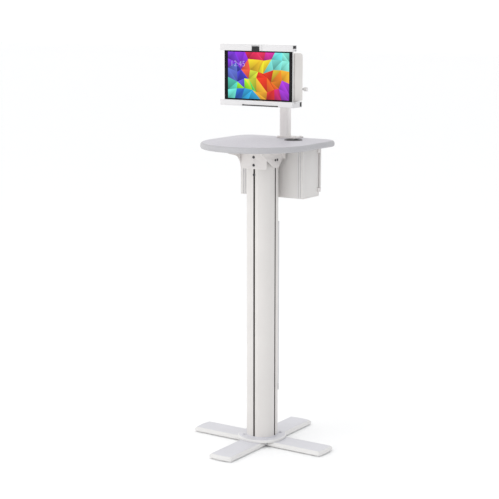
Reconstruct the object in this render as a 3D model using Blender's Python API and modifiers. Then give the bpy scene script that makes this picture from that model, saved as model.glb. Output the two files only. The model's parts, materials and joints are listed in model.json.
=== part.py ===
"""Touchscreen kiosk: a cross base, a round T-slot column, a small worktop and a tilting tablet holder.

Units are metres, +Z is up, the front of the kiosk faces -Y and its right-hand side is +X.
The origin is on the floor, on the column's axis.
"""
import math

import bmesh
import bpy
from mathutils import Matrix, Vector

GAP = 0.0003            # clearance between pieces that touch

# Base
LEG_REACH = 0.249       # column axis to the middle of a leg's tip
LEG_HALF_WIDTH = 0.0423
LEG_TIP_BULGE = 0.005
LEG_BOTTOM = 0.003
LEG_TOP = 0.0167
LEG_CHAMFER = 0.0035
HUB_HALF = 0.048        # half the side of the square block between the legs
HUB_DISC_RADIUS = 0.079
HUB_DISC_TOP = 0.0255
HUB_BOLT_OFFSET = 0.0438
FOOT_PAD_RADIUS = 0.014
FOOT_PAD_REACH = 0.222

# Column: a round extrusion with a T-slot in a flat on each of its four sides
COLUMN_RADIUS = 0.051
COLUMN_FLAT = 0.049
COLUMN_CORE_RADIUS = 0.034
COLUMN_BOTTOM = HUB_DISC_TOP + GAP
COLUMN_TOP = 0.9752
SLOT_HALF_MOUTH = 0.003
SLOT_HALF_CAVITY = 0.0065
SLOT_LIP = 0.0035
SLOT_CAVITY_DEPTH = 0.005
ARC_STEPS = 6

# Worktop
TOP_HALF_WIDTH = 0.185
TOP_FRONT_CENTRE = -0.024
TOP_REAR = 0.176
TOP_REAR_RADIUS = 0.052
TOP_THICKNESS = 0.019
TOP_SURFACE = 0.995
TOP_UNDERSIDE = TOP_SURFACE - TOP_THICKNESS
GROMMET_X = 0.062
GROMMET_Y = 0.086
GROMMET_RADIUS = 0.030
GROMMET_BORE = 0.0245

# Brackets that carry the worktop
SHEET = 0.0025
BRACKET_BOTTOM = 0.911
BRACKET_TOP = TOP_UNDERSIDE - GAP
FRONT_BRACKET_HALF = 0.0485
BRACKET_INNER = COLUMN_FLAT + GAP
BRACKET_OUTER = BRACKET_INNER + SHEET
BRACKET_REAR = 0.040
FRONT_SCREW_HEIGHTS = {"upper": 0.9485, "lower": 0.923}
SIDE_SCREW_HEIGHT = 0.938
SIDE_SCREW_OFFSET = 0.006
SLOT_STOP_HEIGHT = 0.892

# Storage box under the worktop
BOX_HALF_WIDTH = 0.120
BOX_FRONT = 0.052
BOX_REAR = 0.150
BOX_BOTTOM = 0.811
BOX_TOP = TOP_UNDERSIDE - GAP
BOX_WALL = 0.0015
BOX_FLANGE = 0.006
DOOR_RIGHT = 0.1185
DOOR_LEFT = -0.1195
DOOR_DEPTH = 0.0047
HINGE_X = 0.1225
HINGE_Y = 0.153
KNUCKLE_RADIUS = 0.0034
KNUCKLE_BORE = 0.0021
HINGE_PIN_RADIUS = 0.0017
HINGE_BOTTOM = 0.825
HINGE_TOP = 0.965
HINGE_LUG = 0.013
LOCK_X = -0.098
LOCK_Z = 0.893
BUSHING_X = 0.060
BUSHING_Y = 0.105

# Cable raceway on the rear slot
RACEWAY_HALF_WIDTH = 0.0125
RACEWAY_FRONT = COLUMN_FLAT + GAP
RACEWAY_REAR = 0.0820
RACEWAY_BOTTOM = 0.158
RACEWAY_TOP = 0.727
RACEWAY_WALL = 0.0016
RACEWAY_CAP_HEIGHT = 0.024

# Post and tilt joint
POST_Y = 0.136
POST_HALF_WIDTH = 0.0165
POST_HALF_DEPTH = 0.0135
POST_WALL = 0.0025
POST_TOP = 1.200
FOOT_PLATE_LEFT = -0.026
FOOT_PLATE_RIGHT = 0.052
FOOT_PLATE_FRONT = 0.1185
FOOT_PLATE_REAR = 0.168
FOOT_PLATE_TOP = TOP_SURFACE + 0.005
TILT_Y = 0.075
TILT_Z = 1.160
EAR_INNER = 0.0125
EAR_OUTER = 0.0165
EAR_RADIUS = 0.0095
LUG_HALF_WIDTH = 0.012
TILT_BOLT_RADIUS = 0.0035
TILT_BORE = 0.0039
KNOB_INNER = 0.1085
KNOB_OUTER = 0.1195
KNOB_RADIUS = 0.0065

# Tablet holder
JAW_HALF_LENGTH = 0.136
RAIL_FRONT = -0.040
JAW_REAR = -0.0165
JAW_BOTTOM = 1.2815
JAW_TOP = 1.3015
TRAY_REAR = 0.017
TRAY_BOTTOM = 1.108
TRAY_TOP = 1.126
GROOVE_FRONT = -0.0286
GROOVE_REAR = -0.0185
BACK_PLATE_FRONT = -0.0182
BACK_PLATE_REAR = -0.0162
HOUSING_HALF_WIDTH = 0.122
HOUSING_NECK_HALF = 0.117
HOUSING_FRONT = BACK_PLATE_REAR + GAP
HOUSING_STEP = -0.0036
HOUSING_REAR = 0.0438
HOUSING_BOTTOM = TRAY_TOP + GAP
HOUSING_TOP = 1.275
HOUSING_WALL = 0.002
ROD_X = 0.070
ROD_Y = -0.0095
ROD_RADIUS = 0.003
ROD_BOTTOM = 1.1785
CROSSBAR_BOTTOM = 1.1700
GUIDE_BOTTOM = 1.225
GUIDE_TOP = 1.258
LATCH_HALF_WIDTH = 0.013
LATCH_FRONT = -0.0445

# Tablet
TABLET_HALF_WIDTH = 0.1275
TABLET_BOTTOM = 1.1210
TABLET_TOP = 1.2865
TABLET_FRONT = -0.0280
TABLET_REAR = -0.0190
TABLET_CORNER = 0.007
TABLET_WALL = 0.0015
GLASS_THICKNESS = 0.0012
POWER_KEY = (1.2320, 1.2440)
VOLUME_KEY = (1.1960, 1.2240)


def remove_everything():
    for old in list(bpy.data.objects):
        bpy.data.objects.remove(old, do_unlink=True)


def new_collection(name):
    group = bpy.data.collections.new(name)
    bpy.context.scene.collection.children.link(group)
    return group


remove_everything()
PARTS = new_collection("touchscreen_kiosk")
CUTTERS = new_collection("cutters")


def make_material(name, colour, roughness, metallic):
    made = bpy.data.materials.new(name)
    made.use_nodes = True
    shader = made.node_tree.nodes["Principled BSDF"]
    shader.inputs["Base Color"].default_value = (*colour, 1.0)
    shader.inputs["Roughness"].default_value = roughness
    shader.inputs["Metallic"].default_value = metallic
    return made


WHITE_PAINT = make_material("white_paint", (0.78, 0.77, 0.75), 0.45, 0.0)
COLUMN_PAINT = make_material("column_paint", (0.76, 0.75, 0.74), 0.38, 0.1)
LAMINATE = make_material("laminate", (0.62, 0.61, 0.65), 0.55, 0.0)
STEEL = make_material("zinc_steel", (0.55, 0.55, 0.56), 0.35, 1.0)
RUBBER = make_material("rubber", (0.03, 0.03, 0.03), 0.8, 0.0)
BLACK_PLASTIC = make_material("black_plastic", (0.02, 0.02, 0.022), 0.4, 0.0)
GREY_PLASTIC = make_material("grey_plastic", (0.45, 0.45, 0.46), 0.5, 0.0)
ALUMINIUM = make_material("aluminium", (0.6, 0.6, 0.62), 0.3, 1.0)
GLASS = make_material("glass", (0.01, 0.01, 0.012), 0.08, 0.0)
SCREEN = make_material("screen", (0.2, 0.3, 0.7), 0.3, 0.0)


# ---------------------------------------------------------------- modelling helpers

def add_object(name, mesh, finish, origin=None):
    """Link a mesh whose vertices are in world coordinates, with its origin where the caller says."""
    made = bpy.data.objects.new(name, mesh)
    if origin is None:
        corners = [vertex.co for vertex in mesh.vertices]
        low = Vector(min(c[i] for c in corners) for i in range(3))
        high = Vector(max(c[i] for c in corners) for i in range(3))
        origin = (low + high) / 2
    origin = Vector(origin)
    mesh.transform(Matrix.Translation(-origin))
    made.location = origin
    mesh.materials.clear()
    mesh.materials.append(finish)
    PARTS.objects.link(made)
    return made


def box_mesh(x_span, y_span, z_span):
    spans = (x_span, y_span, z_span)
    centre = Vector((low + high) / 2 for low, high in spans)
    size = Vector(high - low for low, high in spans)
    work = bmesh.new()
    bmesh.ops.create_cube(work, size=1.0)
    bmesh.ops.scale(work, vec=size, verts=work.verts)
    bmesh.ops.translate(work, vec=centre, verts=work.verts)
    mesh = bpy.data.meshes.new("box")
    work.to_mesh(mesh)
    work.free()
    return mesh


def add_box(name, x_span, y_span, z_span, finish, origin=None, edge=0.0):
    made = add_object(name, box_mesh(x_span, y_span, z_span), finish, origin)
    if edge:
        soften(made, edge)
    return made


def soften(target, width, segments=1):
    bevel = target.modifiers.new("edges", 'BEVEL')
    bevel.width = width
    bevel.segments = segments
    bevel.limit_method = 'ANGLE'
    bevel.angle_limit = math.radians(40)


AXIS_TURN = {
    "Z": Matrix.Identity(4),
    "X": Matrix.Rotation(math.radians(90), 4, 'Y'),
    "-X": Matrix.Rotation(math.radians(-90), 4, 'Y'),
    "Y": Matrix.Rotation(math.radians(-90), 4, 'X'),
    "-Y": Matrix.Rotation(math.radians(90), 4, 'X'),
}


def cylinder_mesh(radius, span, centre, axis="Z", sides=24):
    """A cylinder along an axis; span is where it starts and ends along that axis from centre."""
    work = bmesh.new()
    bmesh.ops.create_cone(work, cap_ends=True, segments=sides, radius1=radius, radius2=radius,
                          depth=span[1] - span[0])
    shift = Matrix.Translation((0, 0, (span[0] + span[1]) / 2))
    bmesh.ops.transform(work, matrix=Matrix.Translation(centre) @ AXIS_TURN[axis] @ shift, verts=work.verts)
    mesh = bpy.data.meshes.new("cylinder")
    work.to_mesh(mesh)
    work.free()
    return mesh


def add_turned(name, profile, centre, axis, finish, steps=24, closed=False):
    """A turned piece: profile is (radius, height) pairs that run down the outer side."""
    count = len(profile)
    edges = [(i, i + 1) for i in range(count - 1)]
    if closed:
        edges.append((count - 1, 0))
    mesh = bpy.data.meshes.new(name)
    mesh.from_pydata([(radius, 0.0, height) for radius, height in profile], edges, [])
    mesh.materials.append(finish)
    made = bpy.data.objects.new(name, mesh)
    made.location = centre
    made.rotation_euler = AXIS_TURN[axis].to_euler()
    PARTS.objects.link(made)
    turn = made.modifiers.new("turn", 'SCREW')
    turn.axis = 'Z'
    turn.angle = math.radians(360)
    turn.steps = steps
    turn.render_steps = steps
    turn.use_merge_vertices = True
    turn.merge_threshold = 0.00001
    return made


def flat_mesh(outlines, thickness):
    """A flat plate, centred on its own plane, from a closed outline and any holes in it."""
    curve = bpy.data.curves.new("outline", 'CURVE')
    curve.dimensions = '2D'
    curve.fill_mode = 'BOTH'
    curve.extrude = thickness / 2
    for outline in outlines:
        spline = curve.splines.new('POLY')
        spline.points.add(len(outline) - 1)
        for point, (a, b) in zip(spline.points, outline):
            point.co = (a, b, 0.0, 1.0)
        spline.use_cyclic_u = True
    holder = bpy.data.objects.new("outline", curve)
    PARTS.objects.link(holder)
    bpy.context.view_layer.update()
    mesh = bpy.data.meshes.new_from_object(holder.evaluated_get(bpy.context.evaluated_depsgraph_get()))
    bpy.data.objects.remove(holder, do_unlink=True)
    work = bmesh.new()
    work.from_mesh(mesh)
    bmesh.ops.remove_doubles(work, verts=work.verts, dist=0.00001)
    bmesh.ops.recalc_face_normals(work, faces=work.faces)
    work.to_mesh(mesh)
    work.free()
    return mesh


# An outline's two coordinates lie along these world axes, and the plate's thickness along the third.
PLANE_TURN = {
    "XY": Matrix.Identity(4),
    "XZ": Matrix(((1, 0, 0, 0), (0, 0, -1, 0), (0, 1, 0, 0), (0, 0, 0, 1))),
    "YZ": Matrix(((0, 0, 1, 0), (1, 0, 0, 0), (0, 1, 0, 0), (0, 0, 0, 1))),
}
PLANE_NORMAL = {"XY": Vector((0, 0, 1)), "XZ": Vector((0, 1, 0)), "YZ": Vector((1, 0, 0))}


def plate_mesh(outlines, plane, span):
    mesh = flat_mesh(outlines, span[1] - span[0])
    middle = (span[0] + span[1]) / 2
    mesh.transform(Matrix.Translation(PLANE_NORMAL[plane] * middle) @ PLANE_TURN[plane])
    return mesh


def add_plate(name, outlines, plane, span, finish, origin=None):
    return add_object(name, plate_mesh(outlines, plane, span), finish, origin)


def arc(centre_a, centre_b, radius, start, end, steps):
    """Points of an arc between two angles in degrees, both ends included."""
    points = []
    for step in range(steps + 1):
        angle = math.radians(start + (end - start) * step / steps)
        points.append((centre_a + radius * math.cos(angle), centre_b + radius * math.sin(angle)))
    return points


def rounded_rectangle(a_span, b_span, radius, steps=3):
    low_a, high_a = a_span[0] + radius, a_span[1] - radius
    low_b, high_b = b_span[0] + radius, b_span[1] - radius
    return (arc(high_a, low_b, radius, -90, 0, steps) + arc(high_a, high_b, radius, 0, 90, steps)
            + arc(low_a, high_b, radius, 90, 180, steps) + arc(low_a, low_b, radius, 180, 270, steps))


def rectangle(a_span, b_span):
    return [(a_span[0], b_span[0]), (a_span[1], b_span[0]), (a_span[1], b_span[1]), (a_span[0], b_span[1])]


def combine(target, tool_mesh, operation):
    tool = bpy.data.objects.new(target.name + "_tool", tool_mesh)
    tool.hide_render = True
    tool.display_type = 'WIRE'
    CUTTERS.objects.link(tool)
    step = target.modifiers.new(operation.lower(), 'BOOLEAN')
    step.operation = operation
    step.solver = 'EXACT'
    step.object = tool


def cut(target, tool_mesh):
    combine(target, tool_mesh, 'DIFFERENCE')


def join(target, tool_mesh):
    combine(target, tool_mesh, 'UNION')


# ---------------------------------------------------------------- base

def leg_outline():
    """One leg, pointing along +X: square at the hub, slightly round at its tip."""
    corner = LEG_REACH - LEG_TIP_BULGE
    tip_radius = (LEG_HALF_WIDTH ** 2 + LEG_TIP_BULGE ** 2) / (2 * LEG_TIP_BULGE)
    half_angle = math.degrees(math.asin(LEG_HALF_WIDTH / tip_radius))
    tip = arc(LEG_REACH - tip_radius, 0.0, tip_radius, -half_angle, half_angle, 8)
    start = HUB_HALF + GAP
    tip[0] = (corner, -LEG_HALF_WIDTH)
    tip[-1] = (corner, LEG_HALF_WIDTH)
    return [(start, -LEG_HALF_WIDTH)] + tip + [(start, LEG_HALF_WIDTH)]


def chamfer_top(target, height, width):
    """Chamfer the upper rim of a plate, and leave its lower rim square."""
    work = bmesh.new()
    work.from_mesh(target.data)
    local_height = height - target.location.z
    rim = [edge for edge in work.edges
           if all(abs(vertex.co.z - local_height) < 0.0001 for vertex in edge.verts)
           and edge.calc_face_angle(0.0) > math.radians(40)]
    bmesh.ops.bevel(work, geom=rim, offset=width, segments=1, affect='EDGES', profile=0.5)
    work.to_mesh(target.data)
    work.free()


def build_base():
    for name, quarter_turns in (("right", 0), ("back", 1), ("left", 2), ("front", 3)):
        turn = Matrix.Rotation(math.radians(90 * quarter_turns), 4, 'Z')
        mesh = plate_mesh([leg_outline()], "XY", (LEG_BOTTOM, LEG_TOP))
        mesh.transform(turn)
        leg = add_object("leg_" + name, mesh, WHITE_PAINT)
        chamfer_top(leg, LEG_TOP, LEG_CHAMFER)
        pad_centre = turn @ Vector((FOOT_PAD_REACH, 0, 0))
        add_turned("foot_pad_" + name,
                   [(0, LEG_BOTTOM - GAP), (FOOT_PAD_RADIUS, LEG_BOTTOM - GAP),
                    (FOOT_PAD_RADIUS - 0.001, 0), (0, 0)], pad_centre, "Z", RUBBER, 16)
    add_box("hub_block", (-HUB_HALF, HUB_HALF), (-HUB_HALF, HUB_HALF), (LEG_BOTTOM, LEG_TOP), STEEL)
    disc_bottom = LEG_TOP + GAP
    disc = add_turned("hub_plate",
                      [(0, HUB_DISC_TOP), (HUB_DISC_RADIUS - 0.002, HUB_DISC_TOP),
                       (HUB_DISC_RADIUS, HUB_DISC_TOP - 0.002), (HUB_DISC_RADIUS, disc_bottom),
                       (0, disc_bottom)], (0, 0, 0), "Z", WHITE_PAINT, 48)
    names = {(1, -1): "front_right", (-1, -1): "front_left", (1, 1): "rear_right", (-1, 1): "rear_left"}
    for (side_x, side_y), name in names.items():
        spot = (side_x * HUB_BOLT_OFFSET, side_y * HUB_BOLT_OFFSET, 0)
        cut(disc, cylinder_mesh(0.0034, (LEG_TOP - 0.002, HUB_DISC_TOP + 0.002), spot, "Z", 12))
        add_screw("hub_bolt_" + name, (spot[0], spot[1], HUB_DISC_TOP + GAP), "Z", 0.0055, 0.0034, 0.003,
                  0.008)


def add_screw(name, seat, axis, head_radius, head_height, shank_radius, shank_length):
    """A cap screw: seat is the middle of the head's underside, and axis is the way the head points."""
    chamfer = head_height * 0.3
    add_turned(name,
               [(0, head_height), (head_radius - chamfer, head_height), (head_radius, head_height - chamfer),
                (head_radius, 0), (shank_radius, 0), (shank_radius, -shank_length), (0, -shank_length)],
               seat, axis, STEEL, 12)


# ---------------------------------------------------------------- column

def column_outline():
    half_flat = math.sqrt(COLUMN_RADIUS ** 2 - COLUMN_FLAT ** 2)
    edge_angle = math.degrees(math.atan2(half_flat, COLUMN_FLAT))
    lip = COLUMN_FLAT - SLOT_LIP
    floor = lip - SLOT_CAVITY_DEPTH
    slot = [(COLUMN_FLAT, -half_flat), (COLUMN_FLAT, -SLOT_HALF_MOUTH), (lip, -SLOT_HALF_MOUTH),
            (lip, -SLOT_HALF_CAVITY), (floor, -SLOT_HALF_CAVITY), (floor, SLOT_HALF_CAVITY),
            (lip, SLOT_HALF_CAVITY), (lip, SLOT_HALF_MOUTH), (COLUMN_FLAT, SLOT_HALF_MOUTH)]
    side = slot + arc(0, 0, COLUMN_RADIUS, edge_angle, 90 - edge_angle, ARC_STEPS)
    outline = []
    for quarter in range(4):
        turn = Matrix.Rotation(math.radians(90 * quarter), 2)
        outline += [tuple(turn @ Vector(point)) for point in side]
    return outline


def build_column():
    core = arc(0, 0, COLUMN_CORE_RADIUS, 0, 345, 23)
    add_plate("column", [column_outline(), core], "XY", (COLUMN_BOTTOM, COLUMN_TOP), COLUMN_PAINT)
    add_screw("slot_stop", (0, -COLUMN_FLAT - GAP, SLOT_STOP_HEIGHT), "-Y", 0.0045, 0.002, 0.0025, 0.003)


# ---------------------------------------------------------------- worktop and its brackets

def worktop_outline():
    """A D shape: a half-round front, straight sides and a straight rear edge with round corners."""
    radius = TOP_REAR_RADIUS
    side = TOP_HALF_WIDTH - radius
    rear = TOP_REAR - radius
    front = arc(0, TOP_FRONT_CENTRE, TOP_HALF_WIDTH, 180, 360, 28)
    return front + arc(side, rear, radius, 0, 90, 7) + arc(-side, rear, radius, 90, 180, 7)


def build_worktop():
    board = add_plate("worktop_board", [worktop_outline()], "XY", (TOP_UNDERSIDE, TOP_SURFACE), LAMINATE)
    soften(board, 0.006, 3)
    centre = (GROMMET_X, GROMMET_Y, 0)
    neck = GROMMET_RADIUS - 0.0025
    cut(board, cylinder_mesh(neck + GAP, (TOP_UNDERSIDE - 0.01, TOP_SURFACE + 0.01), centre, "Z", 32))
    top = TOP_SURFACE + 0.0015
    add_turned("grommet_ring",
               [(GROMMET_BORE, top), (GROMMET_RADIUS - 0.001, top), (GROMMET_RADIUS, TOP_SURFACE + GAP),
                (neck, TOP_SURFACE + GAP), (neck, TOP_UNDERSIDE + 0.002),
                (GROMMET_BORE - 0.002, TOP_UNDERSIDE + 0.002),
                (GROMMET_BORE - 0.002, TOP_SURFACE - 0.003), (GROMMET_BORE, TOP_SURFACE - 0.003)],
               centre, "Z", BLACK_PLASTIC, 32, closed=True)
    cap_radius = GROMMET_BORE - GAP
    cap_bottom = TOP_SURFACE - 0.003 + GAP
    cap = add_turned("grommet_cap",
                     [(0, top - 0.0004), (cap_radius, top - 0.0004), (cap_radius, cap_bottom),
                      (0, cap_bottom)],
                     centre, "Z", BLACK_PLASTIC, 32)
    notch = rounded_rectangle((GROMMET_X - 0.007, GROMMET_X + 0.007),
                              (GROMMET_Y + 0.008, GROMMET_Y + 0.035), 0.0069)
    cut(cap, plate_mesh([notch], "XY", (TOP_SURFACE - 0.01, TOP_SURFACE + 0.01)))


def build_front_bracket():
    outline = (arc(-FRONT_BRACKET_HALF + 0.008, BRACKET_BOTTOM + 0.008, 0.008, 180, 270, 3)
               + arc(FRONT_BRACKET_HALF - 0.008, BRACKET_BOTTOM + 0.008, 0.008, 270, 360, 3)
               + [(FRONT_BRACKET_HALF, BRACKET_TOP), (-FRONT_BRACKET_HALF, BRACKET_TOP)])
    bracket = add_plate("front_bracket", [outline], "XZ", (-BRACKET_OUTER, -BRACKET_INNER), WHITE_PAINT)
    flange = box_mesh((-FRONT_BRACKET_HALF + 0.002, FRONT_BRACKET_HALF - 0.002),
                      (-0.088, -BRACKET_OUTER + 0.001), (BRACKET_TOP - SHEET, BRACKET_TOP))
    join(bracket, flange)
    for name, height in FRONT_SCREW_HEIGHTS.items():
        hole = cylinder_mesh(0.0030, (-BRACKET_OUTER - 0.01, -BRACKET_INNER + 0.002), (0, 0, height), "Y", 12)
        cut(bracket, hole)
        add_screw("front_screw_" + name, (0, -BRACKET_OUTER - GAP, height), "-Y", 0.0055, 0.003, 0.0026,
                  0.0055)


def build_side_bracket(name, side, outline):
    """A plate against the column's side flat, with a flange under the worktop and a folded rear edge."""
    inner = side * BRACKET_INNER
    outer = side * BRACKET_OUTER
    bracket = add_plate(name, [outline], "YZ", (min(inner, outer), max(inner, outer)), WHITE_PAINT)
    front = min(point[0] for point in outline)
    reach = sorted((side * (BRACKET_OUTER - 0.001), side * 0.080))
    flange = box_mesh(reach, (front + 0.004, BRACKET_REAR - 0.001), (BRACKET_TOP - SHEET, BRACKET_TOP))
    join(bracket, flange)
    fold_reach = sorted((side * (BRACKET_OUTER - 0.001), side * 0.0615))
    fold = box_mesh(fold_reach, (BRACKET_REAR - SHEET, BRACKET_REAR), (0.9390, BRACKET_TOP - 0.0005))
    join(bracket, fold)
    head_axis = "X" if side > 0 else "-X"
    for place, offset in (("front", -SIDE_SCREW_OFFSET), ("rear", SIDE_SCREW_OFFSET)):
        spot = (0, offset, SIDE_SCREW_HEIGHT)
        span = (BRACKET_INNER - 0.002, BRACKET_OUTER + 0.002)
        cut(bracket, cylinder_mesh(0.0021, span, spot, head_axis, 12))
        if side > 0:
            seat = (BRACKET_OUTER + GAP, offset, SIDE_SCREW_HEIGHT)
            add_screw("right_side_screw_" + place, seat, "X", 0.0038, 0.0022, 0.0017, 0.0026)


def build_side_brackets():
    half_tip = 0.0135
    right = [(-half_tip, BRACKET_BOTTOM + 0.002), (half_tip, BRACKET_BOTTOM + 0.002), (BRACKET_REAR, 0.9370),
             (BRACKET_REAR, BRACKET_TOP), (-0.104, BRACKET_TOP)]
    build_side_bracket("right_side_bracket", 1, right)
    concave = arc(-0.0950, 0.9110, 0.0455, 78, 5, 7)
    left = ([(BRACKET_REAR, 0.9370), (BRACKET_REAR, BRACKET_TOP), (-0.1275, BRACKET_TOP), (-0.1275, 0.9662),
             (-0.1120, 0.9610)] + concave + [(half_tip, BRACKET_BOTTOM + 0.002)])
    build_side_bracket("left_side_bracket", -1, left)


# ---------------------------------------------------------------- storage box

def build_box():
    outside = ((-BOX_HALF_WIDTH, BOX_HALF_WIDTH), (BOX_FRONT, BOX_REAR), (BOX_BOTTOM, BOX_TOP))
    body = add_box("box_body", *outside, WHITE_PAINT)
    inner_x = BOX_HALF_WIDTH - BOX_WALL
    cut(body, box_mesh((-inner_x, inner_x), (BOX_FRONT + BOX_WALL, BOX_REAR - BOX_WALL),
                       (BOX_BOTTOM + BOX_WALL, BOX_TOP - BOX_WALL)))
    mouth = BOX_HALF_WIDTH - BOX_FLANGE
    cut(body, box_mesh((-mouth, mouth), (BOX_REAR - 0.003, BOX_REAR + 0.003),
                       (BOX_BOTTOM + BOX_FLANGE, BOX_TOP - BOX_FLANGE)))
    cut(body, cylinder_mesh(GROMMET_BORE, (BOX_TOP - 0.004, BOX_TOP + 0.004), (GROMMET_X, GROMMET_Y, 0),
                            "Z", 24))
    cut(body, cylinder_mesh(0.0113, (BOX_BOTTOM - 0.004, BOX_BOTTOM + 0.004), (BUSHING_X, BUSHING_Y, 0),
                            "Z", 20))
    hinge = (HINGE_X, HINGE_Y, 0)
    for low in (HINGE_BOTTOM, HINGE_TOP - HINGE_LUG):
        lug_z = (low, low + HINGE_LUG)
        join(body, box_mesh((BOX_HALF_WIDTH - 0.001, HINGE_X + 0.001), (BOX_REAR - 0.010, HINGE_Y), lug_z))
        join(body, cylinder_mesh(KNUCKLE_RADIUS, lug_z, hinge, "Z", 12))
    pin = cylinder_mesh(HINGE_PIN_RADIUS, (HINGE_BOTTOM + HINGE_LUG + GAP, HINGE_TOP - HINGE_LUG - GAP),
                        hinge, "Z", 12)
    add_object("door_hinge_pin", pin, STEEL)
    lip = 0.0014
    add_turned("cable_bushing",
               [(0.008, BOX_BOTTOM + BOX_WALL + lip), (0.0108, BOX_BOTTOM + BOX_WALL + lip),
                (0.0108, BOX_BOTTOM - GAP), (0.0135, BOX_BOTTOM - GAP), (0.0135, BOX_BOTTOM - lip),
                (0.008, BOX_BOTTOM - lip)],
               (BUSHING_X, BUSHING_Y, 0), "Z", RUBBER, 20, closed=True)
    add_box("power_adapter", (-0.075, 0.035), (0.062, 0.112),
            (BOX_BOTTOM + BOX_WALL + GAP, BOX_BOTTOM + BOX_WALL + 0.032), BLACK_PLASTIC, edge=0.003)


def build_door():
    low_z, high_z = BOX_BOTTOM + 0.0005, BOX_TOP - 0.0010
    front, rear = BOX_REAR + GAP, BOX_REAR + GAP + DOOR_DEPTH
    hinge = (HINGE_X, HINGE_Y, 0)
    door = add_object("box_door", box_mesh((DOOR_LEFT, DOOR_RIGHT), (front, rear), (low_z, high_z)),
                      WHITE_PAINT,
                      (HINGE_X, HINGE_Y, (low_z + high_z) / 2))
    rim = 0.0015
    cut(door, box_mesh((DOOR_LEFT + rim, DOOR_RIGHT - rim), (front - 0.002, rear - rim),
                       (low_z + rim, high_z - rim)))
    knuckle = (HINGE_BOTTOM + HINGE_LUG + GAP, HINGE_TOP - HINGE_LUG - GAP)
    join(door, box_mesh((DOOR_RIGHT - 0.001, HINGE_X - KNUCKLE_BORE - 0.0004), (rear - rim, rear), knuckle))
    join(door, cylinder_mesh(KNUCKLE_RADIUS, knuckle, hinge, "Z", 16))
    bore = (knuckle[0] - 0.002, knuckle[1] + 0.002)
    cut(door, cylinder_mesh(KNUCKLE_BORE, bore, hinge, "Z", 16))
    lock = (LOCK_X, 0, LOCK_Z)
    cut(door, cylinder_mesh(0.0083, (front - 0.01, rear + 0.01), lock, "Y", 20))
    add_turned("lock_body",
               [(0.0062, rear + 0.0022), (0.0095, rear + 0.0022), (0.0105, rear + GAP), (0.008, rear + GAP),
                (0.008, rear - 0.012), (0.0062, rear - 0.012)], (LOCK_X, 0, LOCK_Z), "Y", STEEL, 20,
               closed=True)
    plug = add_turned("lock_barrel",
                      [(0, rear + 0.0018), (0.0054, rear + 0.0018), (0.0059, rear + 0.0012),
                       (0.0059, rear - 0.0145), (0, rear - 0.0145)], (LOCK_X, 0, LOCK_Z), "Y", STEEL, 20)
    cut(plug, box_mesh((LOCK_X - 0.0006, LOCK_X + 0.0006), (rear + 0.0004, rear + 0.004),
                       (LOCK_Z - 0.0035, LOCK_Z + 0.0035)))
    cam = rounded_rectangle((LOCK_X - 0.005, LOCK_X + 0.005), (LOCK_Z - 0.018, LOCK_Z + 0.006), 0.0045)
    join(plug, plate_mesh([cam], "XZ", (rear - 0.0142, rear - 0.0122)))


# ---------------------------------------------------------------- raceway

def build_raceway():
    half = RACEWAY_HALF_WIDTH
    wall = RACEWAY_WALL
    rear = RACEWAY_REAR - wall - GAP
    channel = [(-half, RACEWAY_FRONT), (half, RACEWAY_FRONT), (half, rear), (half - wall, rear),
               (half - wall, RACEWAY_FRONT + wall), (-half + wall, RACEWAY_FRONT + wall),
               (-half + wall, rear), (-half, rear)]
    bottom = RACEWAY_BOTTOM + RACEWAY_CAP_HEIGHT + GAP
    add_plate("raceway_channel", [channel], "XY", (bottom, RACEWAY_TOP), WHITE_PAINT)
    add_box("raceway_cover", (-half, half), (RACEWAY_REAR - wall, RACEWAY_REAR), (bottom, RACEWAY_TOP),
            WHITE_PAINT)
    add_box("raceway_end_cap", (-half, half), (RACEWAY_FRONT, RACEWAY_REAR),
            (RACEWAY_BOTTOM, bottom - GAP), GREY_PLASTIC, edge=0.0015)


# ---------------------------------------------------------------- post and tilt joint

def build_post():
    add_plate("post_foot_plate",
              [rounded_rectangle((FOOT_PLATE_LEFT, FOOT_PLATE_RIGHT), (FOOT_PLATE_FRONT, FOOT_PLATE_REAR),
                                 0.006)],
              "XY", (TOP_SURFACE + GAP, FOOT_PLATE_TOP), WHITE_PAINT)
    x_span = (-POST_HALF_WIDTH, POST_HALF_WIDTH)
    y_span = (POST_Y - POST_HALF_DEPTH, POST_Y + POST_HALF_DEPTH)
    inside_x = (x_span[0] + POST_WALL, x_span[1] - POST_WALL)
    inside_y = (y_span[0] + POST_WALL, y_span[1] - POST_WALL)
    outer = rounded_rectangle(x_span, y_span, 0.007, 4)
    inner = rounded_rectangle(inside_x, inside_y, 0.0045, 4)
    add_plate("post_tube", [outer, inner], "XY", (FOOT_PLATE_TOP + GAP, POST_TOP), WHITE_PAINT)


def ear_outline(far_y):
    """A plate that is round about the tilt axis and runs back to far_y."""
    nose = arc(TILT_Y, TILT_Z, EAR_RADIUS, 90, 270, 8)
    return nose + [(far_y, TILT_Z - 0.016), (far_y, TILT_Z + 0.016)]


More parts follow.
